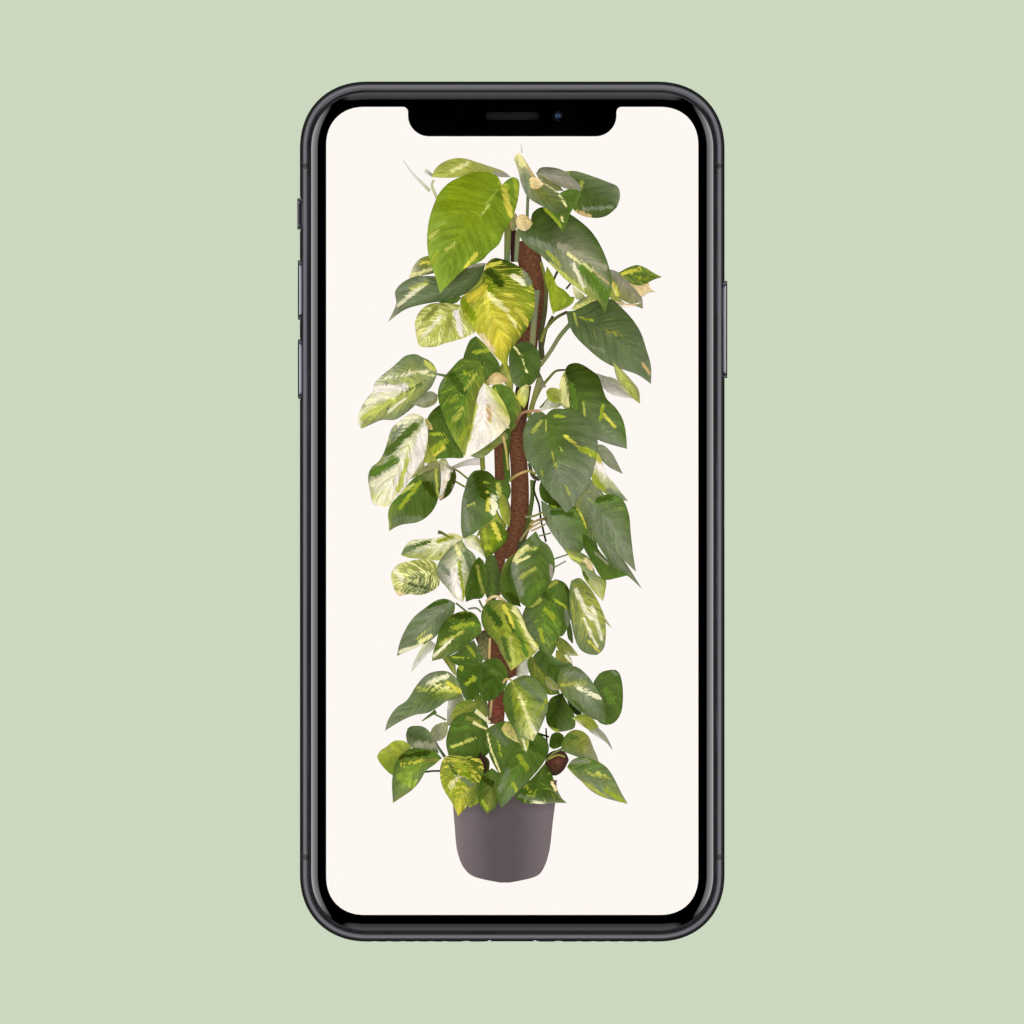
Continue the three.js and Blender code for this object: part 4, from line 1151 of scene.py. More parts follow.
leaf("482,470 478,497 463,539",
     "474,471 468,478 465,488 462,500 461,515 461,528",
     "489,472 498,480 507,480 511,490 508,500 499,508 494,518 481,528 472,535",
     "deep>sea>sea>sage night>deep>sage>sage night>leaf>grass>sage", "lime 484,483>489,483 2",
     "paleLime 468,506>475,503 2", "yellow 488,492>488,510 4", "cream 494,498>494,512 7",
     "pear 498,484>500,498 4", "night 478,476>486,496 10", "silver 464,500>468,530 5")
leaf("503,494 508,508 509,527", "499,500 500,513 504,522", "508,500 511,512",
     "olive>lime>pear olive deep>umber>pear")

strand("541,411 530,411 521,414 516,424", 3, 3, "tan>bark")
strand("503,436 506,450 508,470", 3, 2, "straw>pear")
strand("536,474 528,471 517,475 509,481", 2.5, 2.5, "olive>straw>olive")
strand("520,541 528,530 541,522", 2, 2, "khaki>straw")
strand("525,517 534,516 543,512", 2.5, 2, "khaki>olive")
strand("530,525 538,520 547,519", 2, 3, "straw>umber")
strand("531,531 540,527 546,524", 2, 1.5, "tan>khaki")
strand("539,536 551,533", 1.5, 1.5, "sage")
strand("554,559 569,554", 1.5, 1.5, "sage")
strand("555,567 566,561", 1.5, 1.5, "ash")
strand("456,603 467,612", 2, 2, "sage")
strand("468,609 476,608 481,612", 2, 2, "silver")
strand("479,600 483,608", 2, 2, "sage")
strand("490,638 489,662", 2.5, 2.5, "straw")
strand("492,696 490,718", 3, 2.5, "straw>khaki")
strand("433,713 446,720", 2, 2, "silver")
strand("546,728 547,746", 1.5, 2, "cocoa")
strand("537,733 549,737", 2, 2, "shade")
strand("425,772 433,771 442,771", 2, 2, "umber")
strand("445,757 437,745 434,737", 3, 2, "moss>silver")
strand("488,598 497,595 505,592 516,590", 2, 1, "rust>bark")

# lower half
leaf("464,538 437,546 401,555", "452,533 436,538 420,539 410,541 404,548",
     "456,549 441,560 425,559 410,558", "yellow>cream>cream>pear cream>cream>leaf butter>paleLime>pear",
     "sage 403,551>414,547 5", "lime 438,541>452,537 4", "leaf 410,548>430,541 4", "lime 0.28")
strand("438,532 442,533 449,537", 4, 2, "moss>olive")
leaf("438,573 418,577 394,589", "436,563 425,559 410,561 397,565 391,575",
     "440,583 434,590 421,595 408,594 399,596", "pear>pear>butter olive>sage>pear leaf>sage>olive",
     "peach 394,592>402,595 5", "moss 410,584>432,590 4", "cream 395,570>402,580 5", "butter 0.44")
leaf("464,539 474,545 485,558", "471,535 478,537 483,547", "466,546 474,549 481,554",
     "paleLime>khaki>sage cream milk>butter", "lime 476,538>482,548 2")
leaf("495,521 493,540 486,561", "486,526 480,533 481,545 484,553",
     "502,525 508,533 506,541 500,548 492,555", "leaf>olive>deep leaf>acid>leaf deep>deep",
     "lime 484,530>486,548 4", "yellow 493,524>500,538 5", "lime 488,545>492,550 3", "lime 0.2")
leaf("486,558 492,580 490,602", "484,570 484,585 486,596", "494,555 499,568 501,585 497,598",
     "moss leaf moss")
leaf("515,553 508,578 521,607", "506,561 501,573 500,591 508,602", "512,566 513,580 518,594",
     "olive>leaf>night deep sage>leaf>deep", "night 508,594>518,602 6")
leaf("462,540 458,562 456,582 463,603", "452,546 444,555 438,564 437,573 441,581 447,588 454,597",
     "467,548 473,553 476,559 474,568 470,577 467,588",
     "silver>sage>silver>cream lime>cream>milk>milk sage>sage>lime>lime", "milk 452,572>460,594 6",
     "lime 459,562>464,598 3", "sage 466,553>472,572 6", "silver 441,566>450,574 5",
     "butter 456,546>460,556 4", "stone 440,576>446,572 3", "sage 0.3")
leaf("479,557 477,580 466,602", "474,562 469,575 465,590", "484,562 487,575 487,588 482,598 474,599",
     "deep>leaf night>deep leaf>deep", "olive 477,566>484,594 3", "lime 478,572>480,582 2")
leaf("594,681 602,700 606,725", "600,673 609,670 618,671 622,682 623,698 621,713 614,723",
     "591,692 591,706 595,717 600,723", "leaf>leaf moss>leaf grass>leaf", "silver 612,672>619,674 3",
     "grass 606,690>612,700 8")
leaf("566,549 586,572 603,601", "570,558 580,566 584,578 594,592",
     "580,552 591,560 596,574 606,580 605,592", "olive>pear>paleLime pear>silver>butter leaf>sage>lime",
     "paleLime 567,555>580,560 3", "peach 586,560>592,568 5", "deep 583,572>588,580 3", "lime 0.26")
leaf("583,534 600,560 629,575", "592,540 602,554 615,566", "584,548 592,562 600,576 606,580 617,578",
     "night>moss>silver deep>leaf night>leaf>grass", "ash 594,552>608,564 2")
leaf("556,579 560,605 561,637", "548,584 545,598 548,620", "565,583 571,594 573,608 570,622 565,633",
     "grass>leaf leaf deep>leaf", "lime 555,600>566,607 3", "pear 546,587>556,582 4",
     "night 567,588>571,606 4", "silver 566,612>569,624 4")
leaf("546,590 545,620 549,660", "538,593 530,600 525,608 522,618 526,630 533,642 541,652",
     "549,595 555,606 560,618 561,630 557,645 552,655",
     "leaf>sea>leaf leaf>grass>sea deep>grass>leaf", "lime 545,609>554,618 4",
     "paleLime 531,607>541,599 3", "lime 540,629>543,641 4", "deep 544,594>556,600 6",
     "sea 526,616>536,636 7", "lime 0.26")
leaf("536,531 539,560 528,608", "529,537 521,546 515,555 511,565 512,576 516,590 520,602",
     "541,540 548,545 553,554 555,566 553,577 548,587 539,598",
     "leaf>sage>leaf leaf>leaf>grass sage>leaf>leaf", "butter 513,559>527,547 5",
     "paleLime 518,552>536,548 3", "butter 516,562>528,557 4", "pear 520,578>535,568 4",
     "silver 514,566>521,592 7", "grass 530,592>545,582 6", "stone 551,566>552,580 4",
     "sage 532,534>537,544 5")
leaf("557,636 566,646 579,656", "565,640 573,648", "557,648 566,655",
     "night>deep>cream leaf>olive night>olive>cream", "olive 0.4")
leaf("556,650 566,658 571,668", "564,652 572,660", "556,660 563,667", "leaf>khaki olive olive>pear",
     "cream 566,656>571,662 3")
strand("486,602 492,597 498,597 505,602", 3, 3, "straw>peach>straw")
leaf("500,600 505,625 511,671", "490,600 484,606 481,616 483,627 489,635 496,643 501,653 506,662",
     "508,602 518,608 523,618 527,630 534,640 539,647 532,656 523,661 516,667",
     "leaf>leaf>khaki olive>lime>pear leaf>lime>paleLime", "deep 488,608>500,624 7",
     "lime 494,627>497,631 3", "grass 514,622>527,655 5", "butter 514,608>536,648 5",
     "yellow 504,606>514,628 4", "leaf 503,638>509,660 5", "paleLime 510,638>514,664 4",
     "deep 506,615>514,632 3", "olive 0.3")
leaf("598,605 604,615 612,628", "600,606 606,618", "600,613 606,623", "butter cream olive")
leaf("571,581 583,615 597,655", "569,594 570,612 573,632 579,648 588,654",
     "580,578 590,588 598,601 604,616 606,632 604,648",
     "leaf>sage>sage sage>pear>pear>sage leaf>pear>pear>silver", "cream 576,591>591,619 5",
     "cream 584,618>597,647 3", "cream 592,607>602,638 4", "yellow 588,640>599,652 2",
     "olive 575,585>590,589 4", "pear 572,600>575,624 2", "sage 0.4")
leaf("541,648 550,664 563,689", "533,657 537,664 546,675 554,684",
     "550,654 562,662 573,664 567,672 563,680", "moss>leaf deep sage>grass", "pear 536,668>546,680 3")
leaf("562,693 556,712 556,732", "551,698 547,708 546,720 550,728", "568,704 574,714 575,727 566,731",
     "night>deep shade>night night>leaf>sage", "lime 549,728>558,731 3")
leaf("557,684 580,690 605,723", "559,672 566,666 577,667 587,675 595,686 602,699 606,712",
     "561,692 569,702 579,711 591,718", "leaf>sage>leaf olive>silver>sage leaf>sage>sage",
     "pear 562,685>585,683 3", "cream 579,688>603,699 4", "silver 568,674>584,676 6",
     "leaf 572,700>584,711 3", "tan 550,684>560,690 3")
leaf("545,676 552,684 560,690", "550,677 556,683", "546,684 552,690",
     "grass>silver>khaki olive olive>ash>ash")
leaf("584,722 600,735 613,751", "594,725 604,733 610,743", "589,731 599,738 608,744",
     "stone>ash ash ash>mist>mist")
leaf("572,718 586,720 599,727", "582,714 592,718", "580,724 590,730",
     "leaf>olive>pear lime>olive cream>olive>pear")
leaf("455,603 426,624 397,656", "447,599 437,600 425,608 413,618 404,632 399,645",
     "454,613 447,622 439,633 430,641 418,647 406,652",
     "silver>sage>silver>sage sage>silver>sage leaf>sage>leaf", "silver 424,619>442,610 6",
     "cream 400,652>421,645 4", "sage 408,628>424,620 6", "butter 420,642>431,636 4",
     "deep 428,606>446,601 5", "paleLime 416,640>430,628 2")
leaf("430,640 421,655 411,673", "422,647 414,662", "436,646 426,656",
     "paleLime>mist ash>mist ash>mist>mist")
leaf("474,640 468,655 449,660", "465,646 456,653 450,656", "479,650 483,660 478,668 465,668 455,664",
     "sage>leaf>leaf leaf sage>leaf>deep", "lime 466,644>475,656 3", "lime 452,657>469,658 2")
leaf("481,624 458,634 432,661", "475,614 465,611 454,614 445,621 439,631 436,643 433,653",
     "481,633 473,640 465,647 455,653 444,658", "deep>deep>deep>leaf grass>leaf>olive leaf>leaf>sage",
     "lime 451,628>473,624 4", "yellow 455,627>468,625 2", "cream 434,656>451,640 3",
     "pear 440,644>462,632 3", "night 452,616>470,616 6", "lime 0.2")
leaf("496,658 492,680 484,702", "484,661 479,672 479,688 481,697", "503,663 508,674 505,688 496,698",
     "deep>leaf deep>deep leaf>deep", "leaf 482,664>498,674 6")
leaf("483,664 470,680 468,701", "470,661 460,664 456,674 460,688 464,698", "482,678 481,690 475,699",
     "leaf>deep>sage deep leaf>deep", "lime 466,683>474,678 5", "lime 456,664>462,668 4")
leaf("458,688 453,708 447,726", "450,694 447,710", "464,700 462,714 453,724",
     "silver>mist>khaki ash olive>silver>olive")
leaf("462,692 430,697 385,731", "458,680 449,672 438,671 426,675 416,686 407,700 396,708 388,720",
     "458,698 447,701 437,708 427,713 415,715 403,720 391,727",
     "sage>sage>sage>silver pear>leaf>sage>silver leaf>sage>silver>silver", "cream 428,682>447,676 5",
     "paleLime 418,689>456,691 3", "butter 432,684>448,688 3", "silver 422,682>434,674 6",
     "yellow 448,683>461,692 4", "lime 0.22")
strand("436,711 429,716 422,721", 4, 1, "leaf")
leaf("476,703 466,708 451,719", "470,699 460,702 453,710", "475,712 464,718",
     "leaf>grass>pear olive deep>leaf>lime", "lime 0.3")
leaf("482,715 468,735 449,757", "470,712 457,716 450,726 446,742", "488,726 489,742 487,755 470,760",
     "deep>leaf leaf>leaf leaf>deep>deep", "paleLime 452,747>475,738 3", "olive 467,718>480,722 4",
     "grass 452,730>466,728 6")
strand("476,711 483,717 490,723", 5, 3, "butter>cream")
strand("473,722 480,726 487,729", 4, 2, "butter")
leaf("429,736 438,732 448,726", "433,727 440,723 447,722", "434,741 442,740 447,734",
     "olive>silver>olive ash olive>ash>olive", "ash 434,739>442,724 4", "pear 0.3")
leaf("406,735 422,740 439,753", "409,727 421,726 429,731 435,741", "408,744 418,751 430,753",
     "moss>sage>ash moss sage>ash", "ash 417,745>435,746 7")
leaf("412,747 397,754 377,757", "404,741 394,741 386,747 380,751",
     "404,755 396,765 393,775 386,770 380,763", "pear>lime>pear olive>lime leaf>grass>lime",
     "pear 383,752>392,748 4")
leaf("442,758 415,770 393,803", "434,751 424,749 413,748 402,754 395,766 392,782",
     "434,765 426,771 420,781 412,790 402,797", "grass>deep>leaf>sage leaf>meadow>sage grass>sage>olive",
     "yellow 401,765>421,761 3", "night 400,757>428,753 5", "meadow 399,776>412,784 7",
     "paleLime 410,786>417,780 2", "olive 424,760>438,760 3")
leaf("480,752 484,764 487,777", "477,760 480,772", "489,760 489,770", "shade cocoa night")
leaf("466,757 463,785 458,816", "454,755 444,758 440,769 441,782 445,792 452,803",
     "476,756 483,764 483,778 477,790 471,800 464,810",
     "leaf>olive>lime>pear leaf>acid>lime>gold night>leaf>olive", "lime 458,764>468,771 6",
     "sage 464,780>476,788 6", "cream 450,788>458,776 3", "leaf 449,763>456,775 4",
     "pear 462,796>470,790 4", "yellow 0.4")
leaf("478,782 474,796 469,808", "471,788 468,798", "485,788 482,800", "olive>lime leaf>olive leaf>lime",
     "leaf 0.3")
leaf("492,768 491,790 487,814", "482,776 479,790 479,803", "500,776 501,792 496,806",
     "deep>deep>leaf leaf>olive leaf>leaf", "lime 482,800>487,809 3", "night 480,776>492,784 6")
leaf("545,764 556,762 569,760", "547,755 556,750 565,752", "548,771 554,776 563,771",
     "cocoa cocoa>bark>cocoa shade>cocoa")
leaf("549,746 556,740 565,742", "551,735 558,732 564,736", "553,749 560,747", "deep night deep")
strand("546,761 554,753 564,748", 2.5, 2.5, "olive>sage")
strand("549,759 558,755 565,757", 1.5, 1.5, "pear")
leaf("545,763 541,785 567,803", "534,776 524,786 515,797 524,803 540,804 554,803",
     "551,772 556,786 561,797", "deep>deep>ash leaf>deep>leaf shade>deep>ash", "peach 552,782>556,790 3",
     "lime 524,783>532,797 3", "cream 533,802>543,803 3", "sage 520,796>540,800 4", "lime 0.22")
leaf("532,732 520,765 501,808", "519,735 508,748 500,765 496,785 497,798",
     "544,737 549,748 544,762 532,777 519,790 509,801", "leaf>leaf>leaf leaf>grass>sage deep>leaf>sage",
     "lime 519,756>527,768 5", "lime 513,784>518,793 4", "deep 528,742>547,754 8",
     "pear 520,742>525,750 3", "sage 500,790>508,770 5")
leaf("505,721 497,745 500,776", "495,724 487,730 486,742 490,757 495,767", "514,728 515,745 508,760",
     "leaf>leaf>deep leaf leaf", "butter 487,732>491,750 2", "butter 492,752>500,772 2",
     "sea 494,730>504,742 8", "lime 498,742>501,756 2")
leaf("501,729 512,731 523,744", "507,721 516,727", "505,735 514,741",
     "paleLime>olive straw>pear pear>butter", "sage 0.3")
leaf("516,722 522,736 526,753", "515,730 520,743", "524,728 529,742", "sage>leaf pear pear>paleLime",
     "cream 520,730>526,750 2")
leaf("513,680 520,706 533,741", "506,686 503,697 505,712 512,726 520,737",
     "521,676 532,676 541,684 547,695 548,708 543,722 538,733",
     "deep>leaf>sage olive>lime>butter leaf>sage>silver", "butter 520,697>533,732 4",
     "pear 515,689>527,700 3", "sage 522,682>541,700 7", "leaf 507,690>512,722 7",
     "lime 538,714>547,700 3", "cream 528,720>536,732 3", "grass 0.3")
strand("503,683 506,679 511,680 514,685", 2.5, 2, "straw>pear")
leaf("561,745 578,745 599,763", "565,736 573,730 582,731 589,737 593,747 597,756",
     "563,751 575,756 588,761", "leaf>olive>stone leaf>olive>ash leaf>sage>stone",
     "leaf 568,736>576,738 6")
leaf("567,767 592,777 628,804", "572,760 581,757 591,759 601,763 609,770 615,780 621,792",
     "573,774 582,782 590,790 600,796 612,800",
     "leaf>grass>sage>silver leaf>sage>lime pear>silver>silver>ash", "pear 588,773>610,779 3",
     "paleLime 595,772>607,776 2", "pear 582,782>606,797 3", "lime 605,790>621,801 3",
     "silver 572,762>588,761 4", "pear 0.2")


def coverPatches(lines):
    # the patches of the sheet that a shape touches, with one more all round
    touched = set()
    for sideA, rib, sideB in zip(*lines):
        for side in (sideA, sideB):
            steps = max(int((side - rib).length / sheet["stride"]), 1)
            for step in range(steps + 1):
                spot = rib.lerp(side, step / steps) / sheet["cell"]
                column, row = int(spot.x), int(spot.y)
                touched.update((column + x, row + y) for x in (-1, 0, 1) for y in (-1, 0, 1))
    return touched


def fleckAt(spot, marks):
    # the ink of the strongest mark here, and how much of the leaf it takes
    best, ink = 0.0, None
    for tone, ends, width in marks:
        if ends:
            start, stretch = ends[0], ends[-1] - ends[0]
            share = within((spot - start).dot(stretch) / stretch.length_squared, 0, 1)
            distance = (spot - start - stretch * share).length
            strength = sheet["markPeak"] - sheet["markFall"] * distance / width
        else:
            strength = width
        if strength > best:
            best, ink = strength, tone
    return best, ink


picture = bmesh.new()
pieceLayer = picture.faces.layers.int.new("piece")
veinLayer = picture.loops.layers.uv.new("veins")
toneLayer = picture.verts.layers.float_color.new("tone")
fleckLayer = picture.verts.layers.float_color.new("fleck")
pieceNames = ["pictured_pole", "pictured_pot", "pictured_stalks", "pictured_leaves_1",
              "pictured_leaves_2", "pictured_leaves_3"]
variegation = dict(
    veinSlant=0.26, veinApart=0.95, veinSwell=0.045,  # side veins: how far they slant, their distance in mm
    streakWidth=0.34, streakRun=2.4, streakEdge=0.045,  # a fleck's width in mm, how many cross a half leaf
    leafApart=7.3,  # how far apart in the texture two neighbouring leaves are
    sheen=4, grain=0.45,  # sizes in mm of the soft sheen and of the fine grain
)
levels = {}
topLevel = 0
leafCount = 0
for number, shape in enumerate(drawn):
    patches = coverPatches(shape["lines"])
    level = 1 + max(levels.get(patch, 0) for patch in patches)
    topLevel = max(topLevel, level)
    for patch in patches:
        levels[patch] = level
    name = "pictured_" + shape["piece"]
    if shape["piece"] == "leaves":
        leafCount += 1
        name += f"_{leafCount % 3 + 1}"
    net = bmesh.ops.create_grid(picture, x_segments=shape["along"], y_segments=shape["across"],
                                size=0.5)["verts"]
    faces = {face for vert in net for face in vert.link_faces}
    for vert in net:
        along, across = vert.co.x + 0.5, 2 * vert.co.y
        slanted = along - variegation["veinSlant"] * abs(across)
        for loop in vert.link_loops:
            loop[veinLayer].uv = (slanted * shape["length"] * sheet["square"], across)
        step = round(along * shape["along"])
        rib, side = shape["lines"][1][step], shape["lines"][0 if across < 0 else 2][step]
        spot = rib.lerp(side, abs(across))
        share = across / 2 + 0.5
        if shape["between"]:
            first, last = shape["between"]
            share = (spot.x - first) / (last - first)
        tone = blend([blend(tones, along) for tones in shape["tones"]], share)
        strength, ink = fleckAt(spot, shape["marks"])
        vert.co = (spot.x, spot.y, level)
        vert[toneLayer] = (*tone, number)
        vert[fleckLayer] = (*(ink or tone), min(strength, 1.0))
    for face in faces:
        face[pieceLayer] = pieceNames.index(name)
    bmesh.ops.remove_doubles(picture, verts=net, dist=0.01)

# a shape darkens softly where another lies over it or just above it
cover = BVHTree.FromBMesh(picture)
for vert in picture.verts:
    hidden = 0
    for step in range(sheet["shadowRays"]):
        reach = sheet["shadowReach"][step % 2]
        turn = math.tau * step / sheet["shadowRays"]
        x, y = math.cos(turn) * reach, math.sin(turn) * reach - sheet["shadowShift"]
        hidden += cover.ray_cast(vert.co + Vector((x, y, 0.5)), Vector((0, 0, 1)))[0] is not None
    light = 1 - sheet["shadow"] * hidden / sheet["shadowRays"]
    for layer in (toneLayer, fleckLayer):
        red, green, blue, last = vert[layer]
        vert[layer] = (red * light, green * light, blue * light, last)
print(len(drawn), "shapes on", topLevel, "levels")


# a leaf as the display shows it: slanting flecks, fine side veins, a paler midrib and a darker rim
leafLight = bpy.data.materials.new("emittedVariegatedLeaf")
leafLight.use_nodes = True
tree = leafLight.node_tree
tree.nodes.clear()
tone = addNode(tree, "Attribute", attribute_name="tone")
fleck = addNode(tree, "Attribute", attribute_name="fleck")
veins = addNode(tree, "SeparateXYZ", {0: addNode(tree, "UVMap", uv_map="veins")})
across = addNode(tree, "Math", {0: veins.outputs["Y"]}, operation="ABSOLUTE")
spread = addNode(tree, "CombineXYZ", {"X": veins.outputs["X"], "Y": veins.outputs["Y"],
                                      "Z": tone.outputs["Alpha"]})
density = (1 / variegation["streakWidth"], variegation["streakRun"], variegation["leafApart"])
streaked = addNode(tree, "Mapping", {"Vector": spread, "Scale": density})
streaks = addNode(tree, "TexNoise", {"Vector": streaked, "Scale": 1.0, "Detail": 3.0, "Roughness": 0.6,
                                     "Distortion": 0.4})
mottle = addNode(tree, "TexNoise", {"Vector": streaked, "Scale": 0.45, "Detail": 4.0})
specks = addNode(tree, "TexNoise", {"Vector": streaked, "Scale": 1.7, "Detail": 2.0, "Roughness": 0.7})
limit = addNode(tree, "Math", {0: fleck.outputs["Alpha"], 1: -0.5, 2: 0.75}, operation="MULTIPLY_ADD")
over = addNode(tree, "Math", {0: streaks, 1: limit}, operation="SUBTRACT")
taken = addNode(tree, "MapRange", {"Value": over, "From Min": -variegation["streakEdge"],
                                   "From Max": variegation["streakEdge"]})
both = addNode(tree, "Mix", {"Factor": taken, "A": tone.outputs["Color"], "B": fleck.outputs["Color"]},
               data_type="RGBA")
turn = addNode(tree, "Math", {0: veins.outputs["X"], 1: math.pi / variegation["veinApart"]},
               operation="MULTIPLY")
swell = addNode(tree, "Math", {0: turn}, operation="SINE")
bright = addNode(tree, "Math", {0: swell, 1: variegation["veinSwell"], 2: 1.0}, operation="MULTIPLY_ADD")
fromVein = addNode(tree, "Math", {0: veins.outputs["X"], 1: variegation["veinApart"]},
                   operation="PINGPONG")
place = addNode(tree, "TexCoord").outputs["Object"]
sheen = addNode(tree, "TexNoise", {"Vector": place, "Scale": 1 / (variegation["sheen"] * mm),
                                   "Detail": 1.0})
grain = addNode(tree, "TexNoise", {"Vector": place, "Scale": 1 / (variegation["grain"] * mm),
                                   "Detail": 2.0})
shadings = [  # each dims or brightens the leaf from the fourth number to the fifth
    (fromVein, 0.0, 0.13, 1.1, 1.0),  # a pale line on each side vein
    (across, 0.02, 0.08, 1.13, 1.0),  # the midrib
    (across, 0.9, 1.0, 1.0, 0.86),  # the rim
    (mottle, 0.3, 0.7, 0.8, 1.2),
    (specks, 0.58, 0.7, 1.0, 1.4),
    (sheen, 0.3, 0.7, 0.86, 1.14),
    (grain, 0.3, 0.7, 0.92, 1.08),
]
for value, fromMin, fromMax, toMin, toMax in shadings:
    part = addNode(tree, "MapRange", {"Value": value, "From Min": fromMin, "From Max": fromMax,
                                      "To Min": toMin, "To Max": toMax})
    bright = addNode(tree, "Math", {0: bright, 1: part}, operation="MULTIPLY")
lit = addNode(tree, "VectorMath", {0: both.outputs["Result"], "Scale": bright}, operation="SCALE")
shown = addNode(tree, "Emission", {"Color": lit, "Strength": screen["strength"]})
addNode(tree, "OutputMaterial", {"Surface": shown})


def shadedLight(name, strand, spread, edge):
    # stalk, pole and pot: rounded by darker flanks, with fibres or grain of the given size and strength
    made = bpy.data.materials.new(name)
    made.use_nodes = True
    tree = made.node_tree
    tree.nodes.clear()
    tone = addNode(tree, "Attribute", attribute_name="tone")
    around = addNode(tree, "SeparateXYZ", {0: addNode(tree, "UVMap", uv_map="veins")}).outputs["Y"]
    flank = addNode(tree, "Math", {0: around, 1: around}, operation="MULTIPLY")
    flank = addNode(tree, "Math", {0: flank, 1: -edge, 2: 1.0}, operation="MULTIPLY_ADD")
    place = addNode(tree, "TexCoord").outputs["Object"]
    fibre = addNode(tree, "Mapping", {"Vector": place, "Rotation": (0, 0, math.radians(20)),
                                      "Scale": [1 / (size * mm) for size in strand]})
    fibres = addNode(tree, "TexNoise", {"Vector": fibre, "Scale": 1.0, "Detail": 4.0, "Roughness": 0.7})
    bright = addNode(tree, "MapRange", {"Value": fibres, "From Min": 0.3, "From Max": 0.7,
                                        "To Min": 1 - spread, "To Max": 1 + spread})
    bright = addNode(tree, "Math", {0: bright, 1: flank}, operation="MULTIPLY")
    lit = addNode(tree, "VectorMath", {0: tone.outputs["Color"], "Scale": bright}, operation="SCALE")
    shown = addNode(tree, "Emission", {"Color": lit, "Strength": screen["strength"]})
    addNode(tree, "OutputMaterial", {"Surface": shown})
    return made


stalkLight = shadedLight("emittedGreenStalk", (0.5, 0.5, 0.5), 0.08, 0.3)
poleLight = shadedLight("emittedCoirPole", (0.6, 0.3, 0.5), 0.6, 0.25)
potLight = shadedLight("emittedPlasticPot", (0.3, 0.3, 0.3), 0.015, 0.0)
pictureLights = [poleLight, potLight, stalkLight] + [leafLight] * 3

step = (sheet["highest"] - sheet["lowest"]) / topLevel
right, down = sheet["middle"]
square = sheet["square"] * mm
corner = Vector((-right * square, down * square, sheet["lowest"] * mm))
ontoPanel = Matrix.Translation(corner) @ Matrix.Diagonal((square, -square, step * mm, 1))
for index, (name, light) in enumerate(zip(pieceNames, pictureLights)):
    bm = picture.copy()
    layer = bm.faces.layers.int["piece"]
    others = [face for face in bm.faces if face[layer] != index]
    bmesh.ops.delete(bm, geom=others, context="FACES")
    bmesh.ops.transform(bm, matrix=ontoPanel, verts=bm.verts)
    bm.normal_update()
    bmesh.ops.reverse_faces(bm, faces=[face for face in bm.faces if face.normal.z < 0])
    finishPiece(bm, name, light, sheet=True)
picture.free()


print("port, screws and speaker gauze")

bm = bmesh.new()
depth = port["back"] - port["mouth"]
inPort = onBottomEnd(0, port["back"])
pill(bm, port["width"], port["height"], 0, depth, place=inPort)
cutter = bmesh.new()
pill(cutter, port["width"] - 2 * port["wall"], port["height"] - 2 * port["wall"], port["floor"],
     depth + clear, place=inPort)
finishPiece(carve(bm, cutter), "port_shell", satinSteel, ["charge_port_shell"])

tongue = dict(width=6.7, height=0.7, corner=0.2, rim=0.12, root=0.45, short=0.5,
              contacts=12, pitch=0.5, strip=0.28, stripEnds=(0.5, 4.2), stripRise=0.02)
bm = bmesh.new()
slabOn(bm, tongue["width"], tongue["height"], tongue["corner"], tongue["root"], depth - tongue["short"],
       rim=tongue["rim"], place=inPort)
finishPiece(bm, "port_tongue", blackNylon, ["charge_port_tongue"])
bm = bmesh.new()
tipY = -endY + port["mouth"] + tongue["short"]
for face in (-1, 1):
    z = middleZ + face * tongue["height"] / 2
    for contact in range(tongue["contacts"]):
        x = (contact - (tongue["contacts"] - 1) / 2) * tongue["pitch"]
        block(bm, (x - tongue["strip"] / 2, tipY + tongue["stripEnds"][0], z - tongue["stripRise"]),
              (x + tongue["strip"] / 2, tipY + tongue["stripEnds"][1], z + tongue["stripRise"]))
finishPiece(bm, "port_contacts", goldPlate)

head = screw["foot"] - screw["sunk"]
screwTurn = [
    (0, 0), (screw["shank"], 0), (screw["shank"], screw["underHead"]), (screw["head"], screw["underHead"]),
    (screw["head"], head - screw["edge"]),
    (screw["head"] - screw["edgeMiddle"], head - screw["edgeMiddle"]),
    (screw["head"] - screw["edge"], head), (0, head),
]
for side, word in ((-1, "left"), (1, "right")):
    place = onBottomEnd(side * screw["x"], screw["foot"])
    bm = bmesh.new()
    turned(bm, screwTurn, place)
    cutter = bmesh.new()
    lobes = bmesh.ops.create_circle(cutter, cap_ends=True, segments=40,
                                    radius=screw["socket"] * mm)["verts"]
    for vert in lobes:
        vert.co *= 1 + screw["lobe"] * math.cos(screw["lobes"] * math.atan2(vert.co.y, vert.co.x))
    liftFace(cutter, cutter.faces[:][0], clear)
    bmesh.ops.transform(cutter, verts=cutter.verts, matrix=place
                        @ Matrix.Translation((0, 0, (head - screw["socketDepth"]) * mm)))
    finishPiece(carve(bm, cutter), f"bottom_screw_{word}_head", milledSteel,
                [f"bottom_screw_{word}"], sharp=40)
    bm = bmesh.new()
    middle = side * (sound["first"] + sound["pitch"] * (sound["count"] - 1) / 2)
    block(bm, (middle - sound["gauzeHalf"], -endY + sound["gauze"][0], middleZ - sound["gauzeRise"]),
          (middle + sound["gauzeHalf"], -endY + sound["gauze"][1], middleZ + sound["gauzeRise"]))
    finishPiece(bm, f"sound_gauze_{word}", gauze)


print("rear camera")

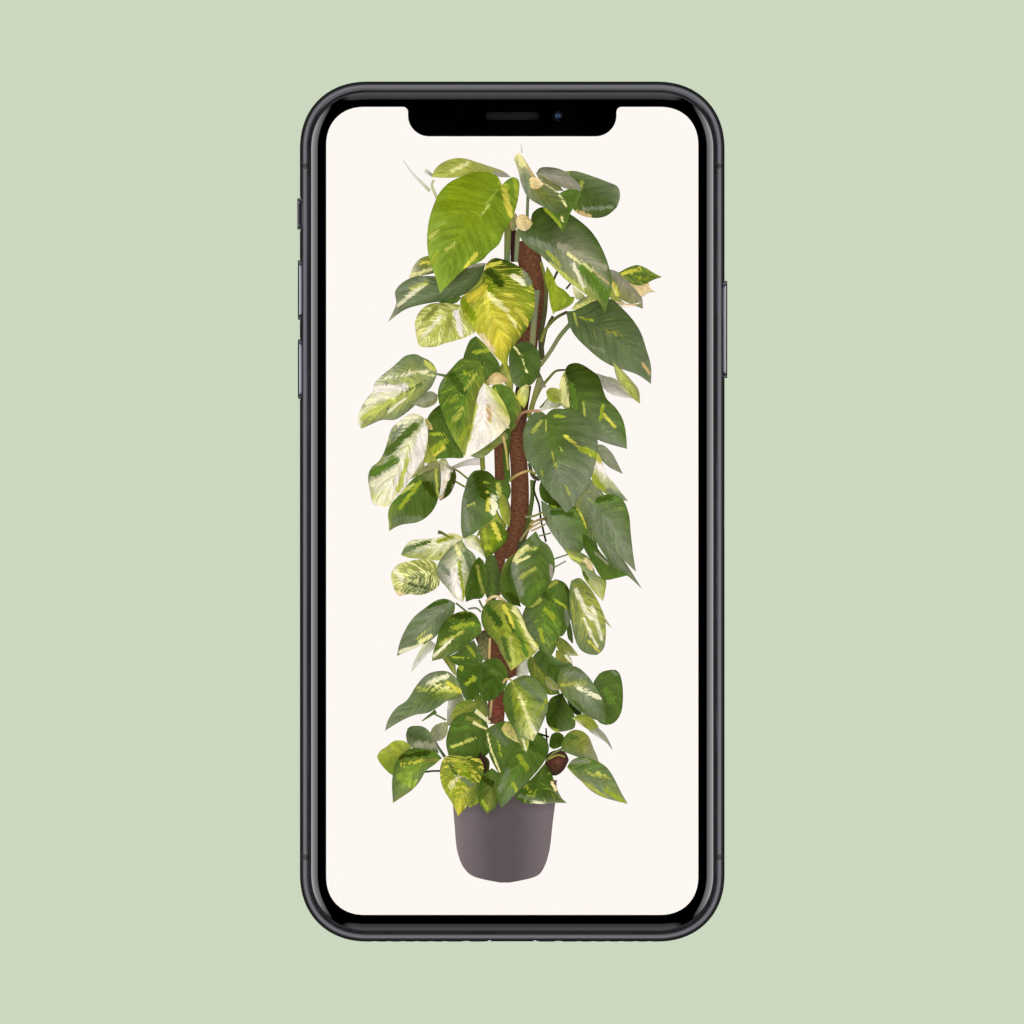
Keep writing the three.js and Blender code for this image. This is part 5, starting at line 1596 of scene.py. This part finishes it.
under = onBack(0, rearCamera["y"])
bm = bmesh.new()
pill(bm, rearCamera["width"], rearCamera["height"], -shelfBack + 0.05, 0, rim=rearCamera["rim"],
     place=under, segments=32)
cutter = bmesh.new()
pill(cutter, rearCamera["width"] - 2 * rearCamera["wall"], rearCamera["height"] - 2 * rearCamera["wall"],
     -clear, clear, place=under, segments=32)
finishPiece(carve(bm, cutter), "camera_rim", coatedSteel, ["rear_camera_rim"])

bm = bmesh.new()
inset = rearCamera["wall"] + rearCamera["windowGap"]
pill(bm, rearCamera["width"] - 2 * inset, rearCamera["height"] - 2 * inset, *rearCamera["window"],
     rim=rearCamera["windowRim"], place=under, segments=32)
finishPiece(bm, "camera_window", clearGlass, ["rear_camera_window"])

barrelRadius = rearCamera["lensRadius"]
barrel = [(0, -1.75), (0.85, -1.75), (0.9, -1.6), (1.25, -1.58), (1.3, -1.45), (1.65, -1.42), (1.7, -1.28),
          (2.1, -1.25), (2.15, -1.12), (2.5, -1.08), (2.6, -0.95), (2.7, -0.9), (barrelRadius - 0.1, -0.9),
          (barrelRadius, -1.0), (barrelRadius, -3.6), (0, -3.6)]
element = [(0, -1.35), (0.25, -1.36), (0.5, -1.4), (0.7, -1.47), (0.85, -1.56), (0.85, -1.72), (0, -1.72)]
for side, word in ((-1, "left"), (1, "right")):
    place = onBack(side * rearCamera["lensX"], rearCamera["y"])
    bm = bmesh.new()
    turned(bm, barrel, place, 64)
    finishPiece(bm, f"lens_barrel_{word}", anodisedBlack, [f"rear_lens_{word}"])
    bm = bmesh.new()
    turned(bm, element, place)
    finishPiece(bm, f"lens_element_{word}", coatedLens)

# flash: an opal cap with moulded rings
flash = dict(radius=2.2, rings=9, ringsOut=1.9, face=-0.9, back=-1.7, ridge=0.05, groove=0.02, edge=0.08)
cap = [(0, flash["face"])]
for ring in range(1, flash["rings"]):
    radius = flash["ringsOut"] * ring / flash["rings"]
    cap += [(radius - flash["groove"], flash["face"] - flash["ridge"]), (radius, flash["face"])]
cap += [(flash["radius"] - flash["edge"], flash["face"]), (flash["radius"], flash["face"] - flash["edge"]),
        (flash["radius"], flash["back"]), (0, flash["back"])]
bm = bmesh.new()
turned(bm, cap, under)
finishPiece(bm, "flash_cap", opalCover, ["flash_lamp"], sharp=20)
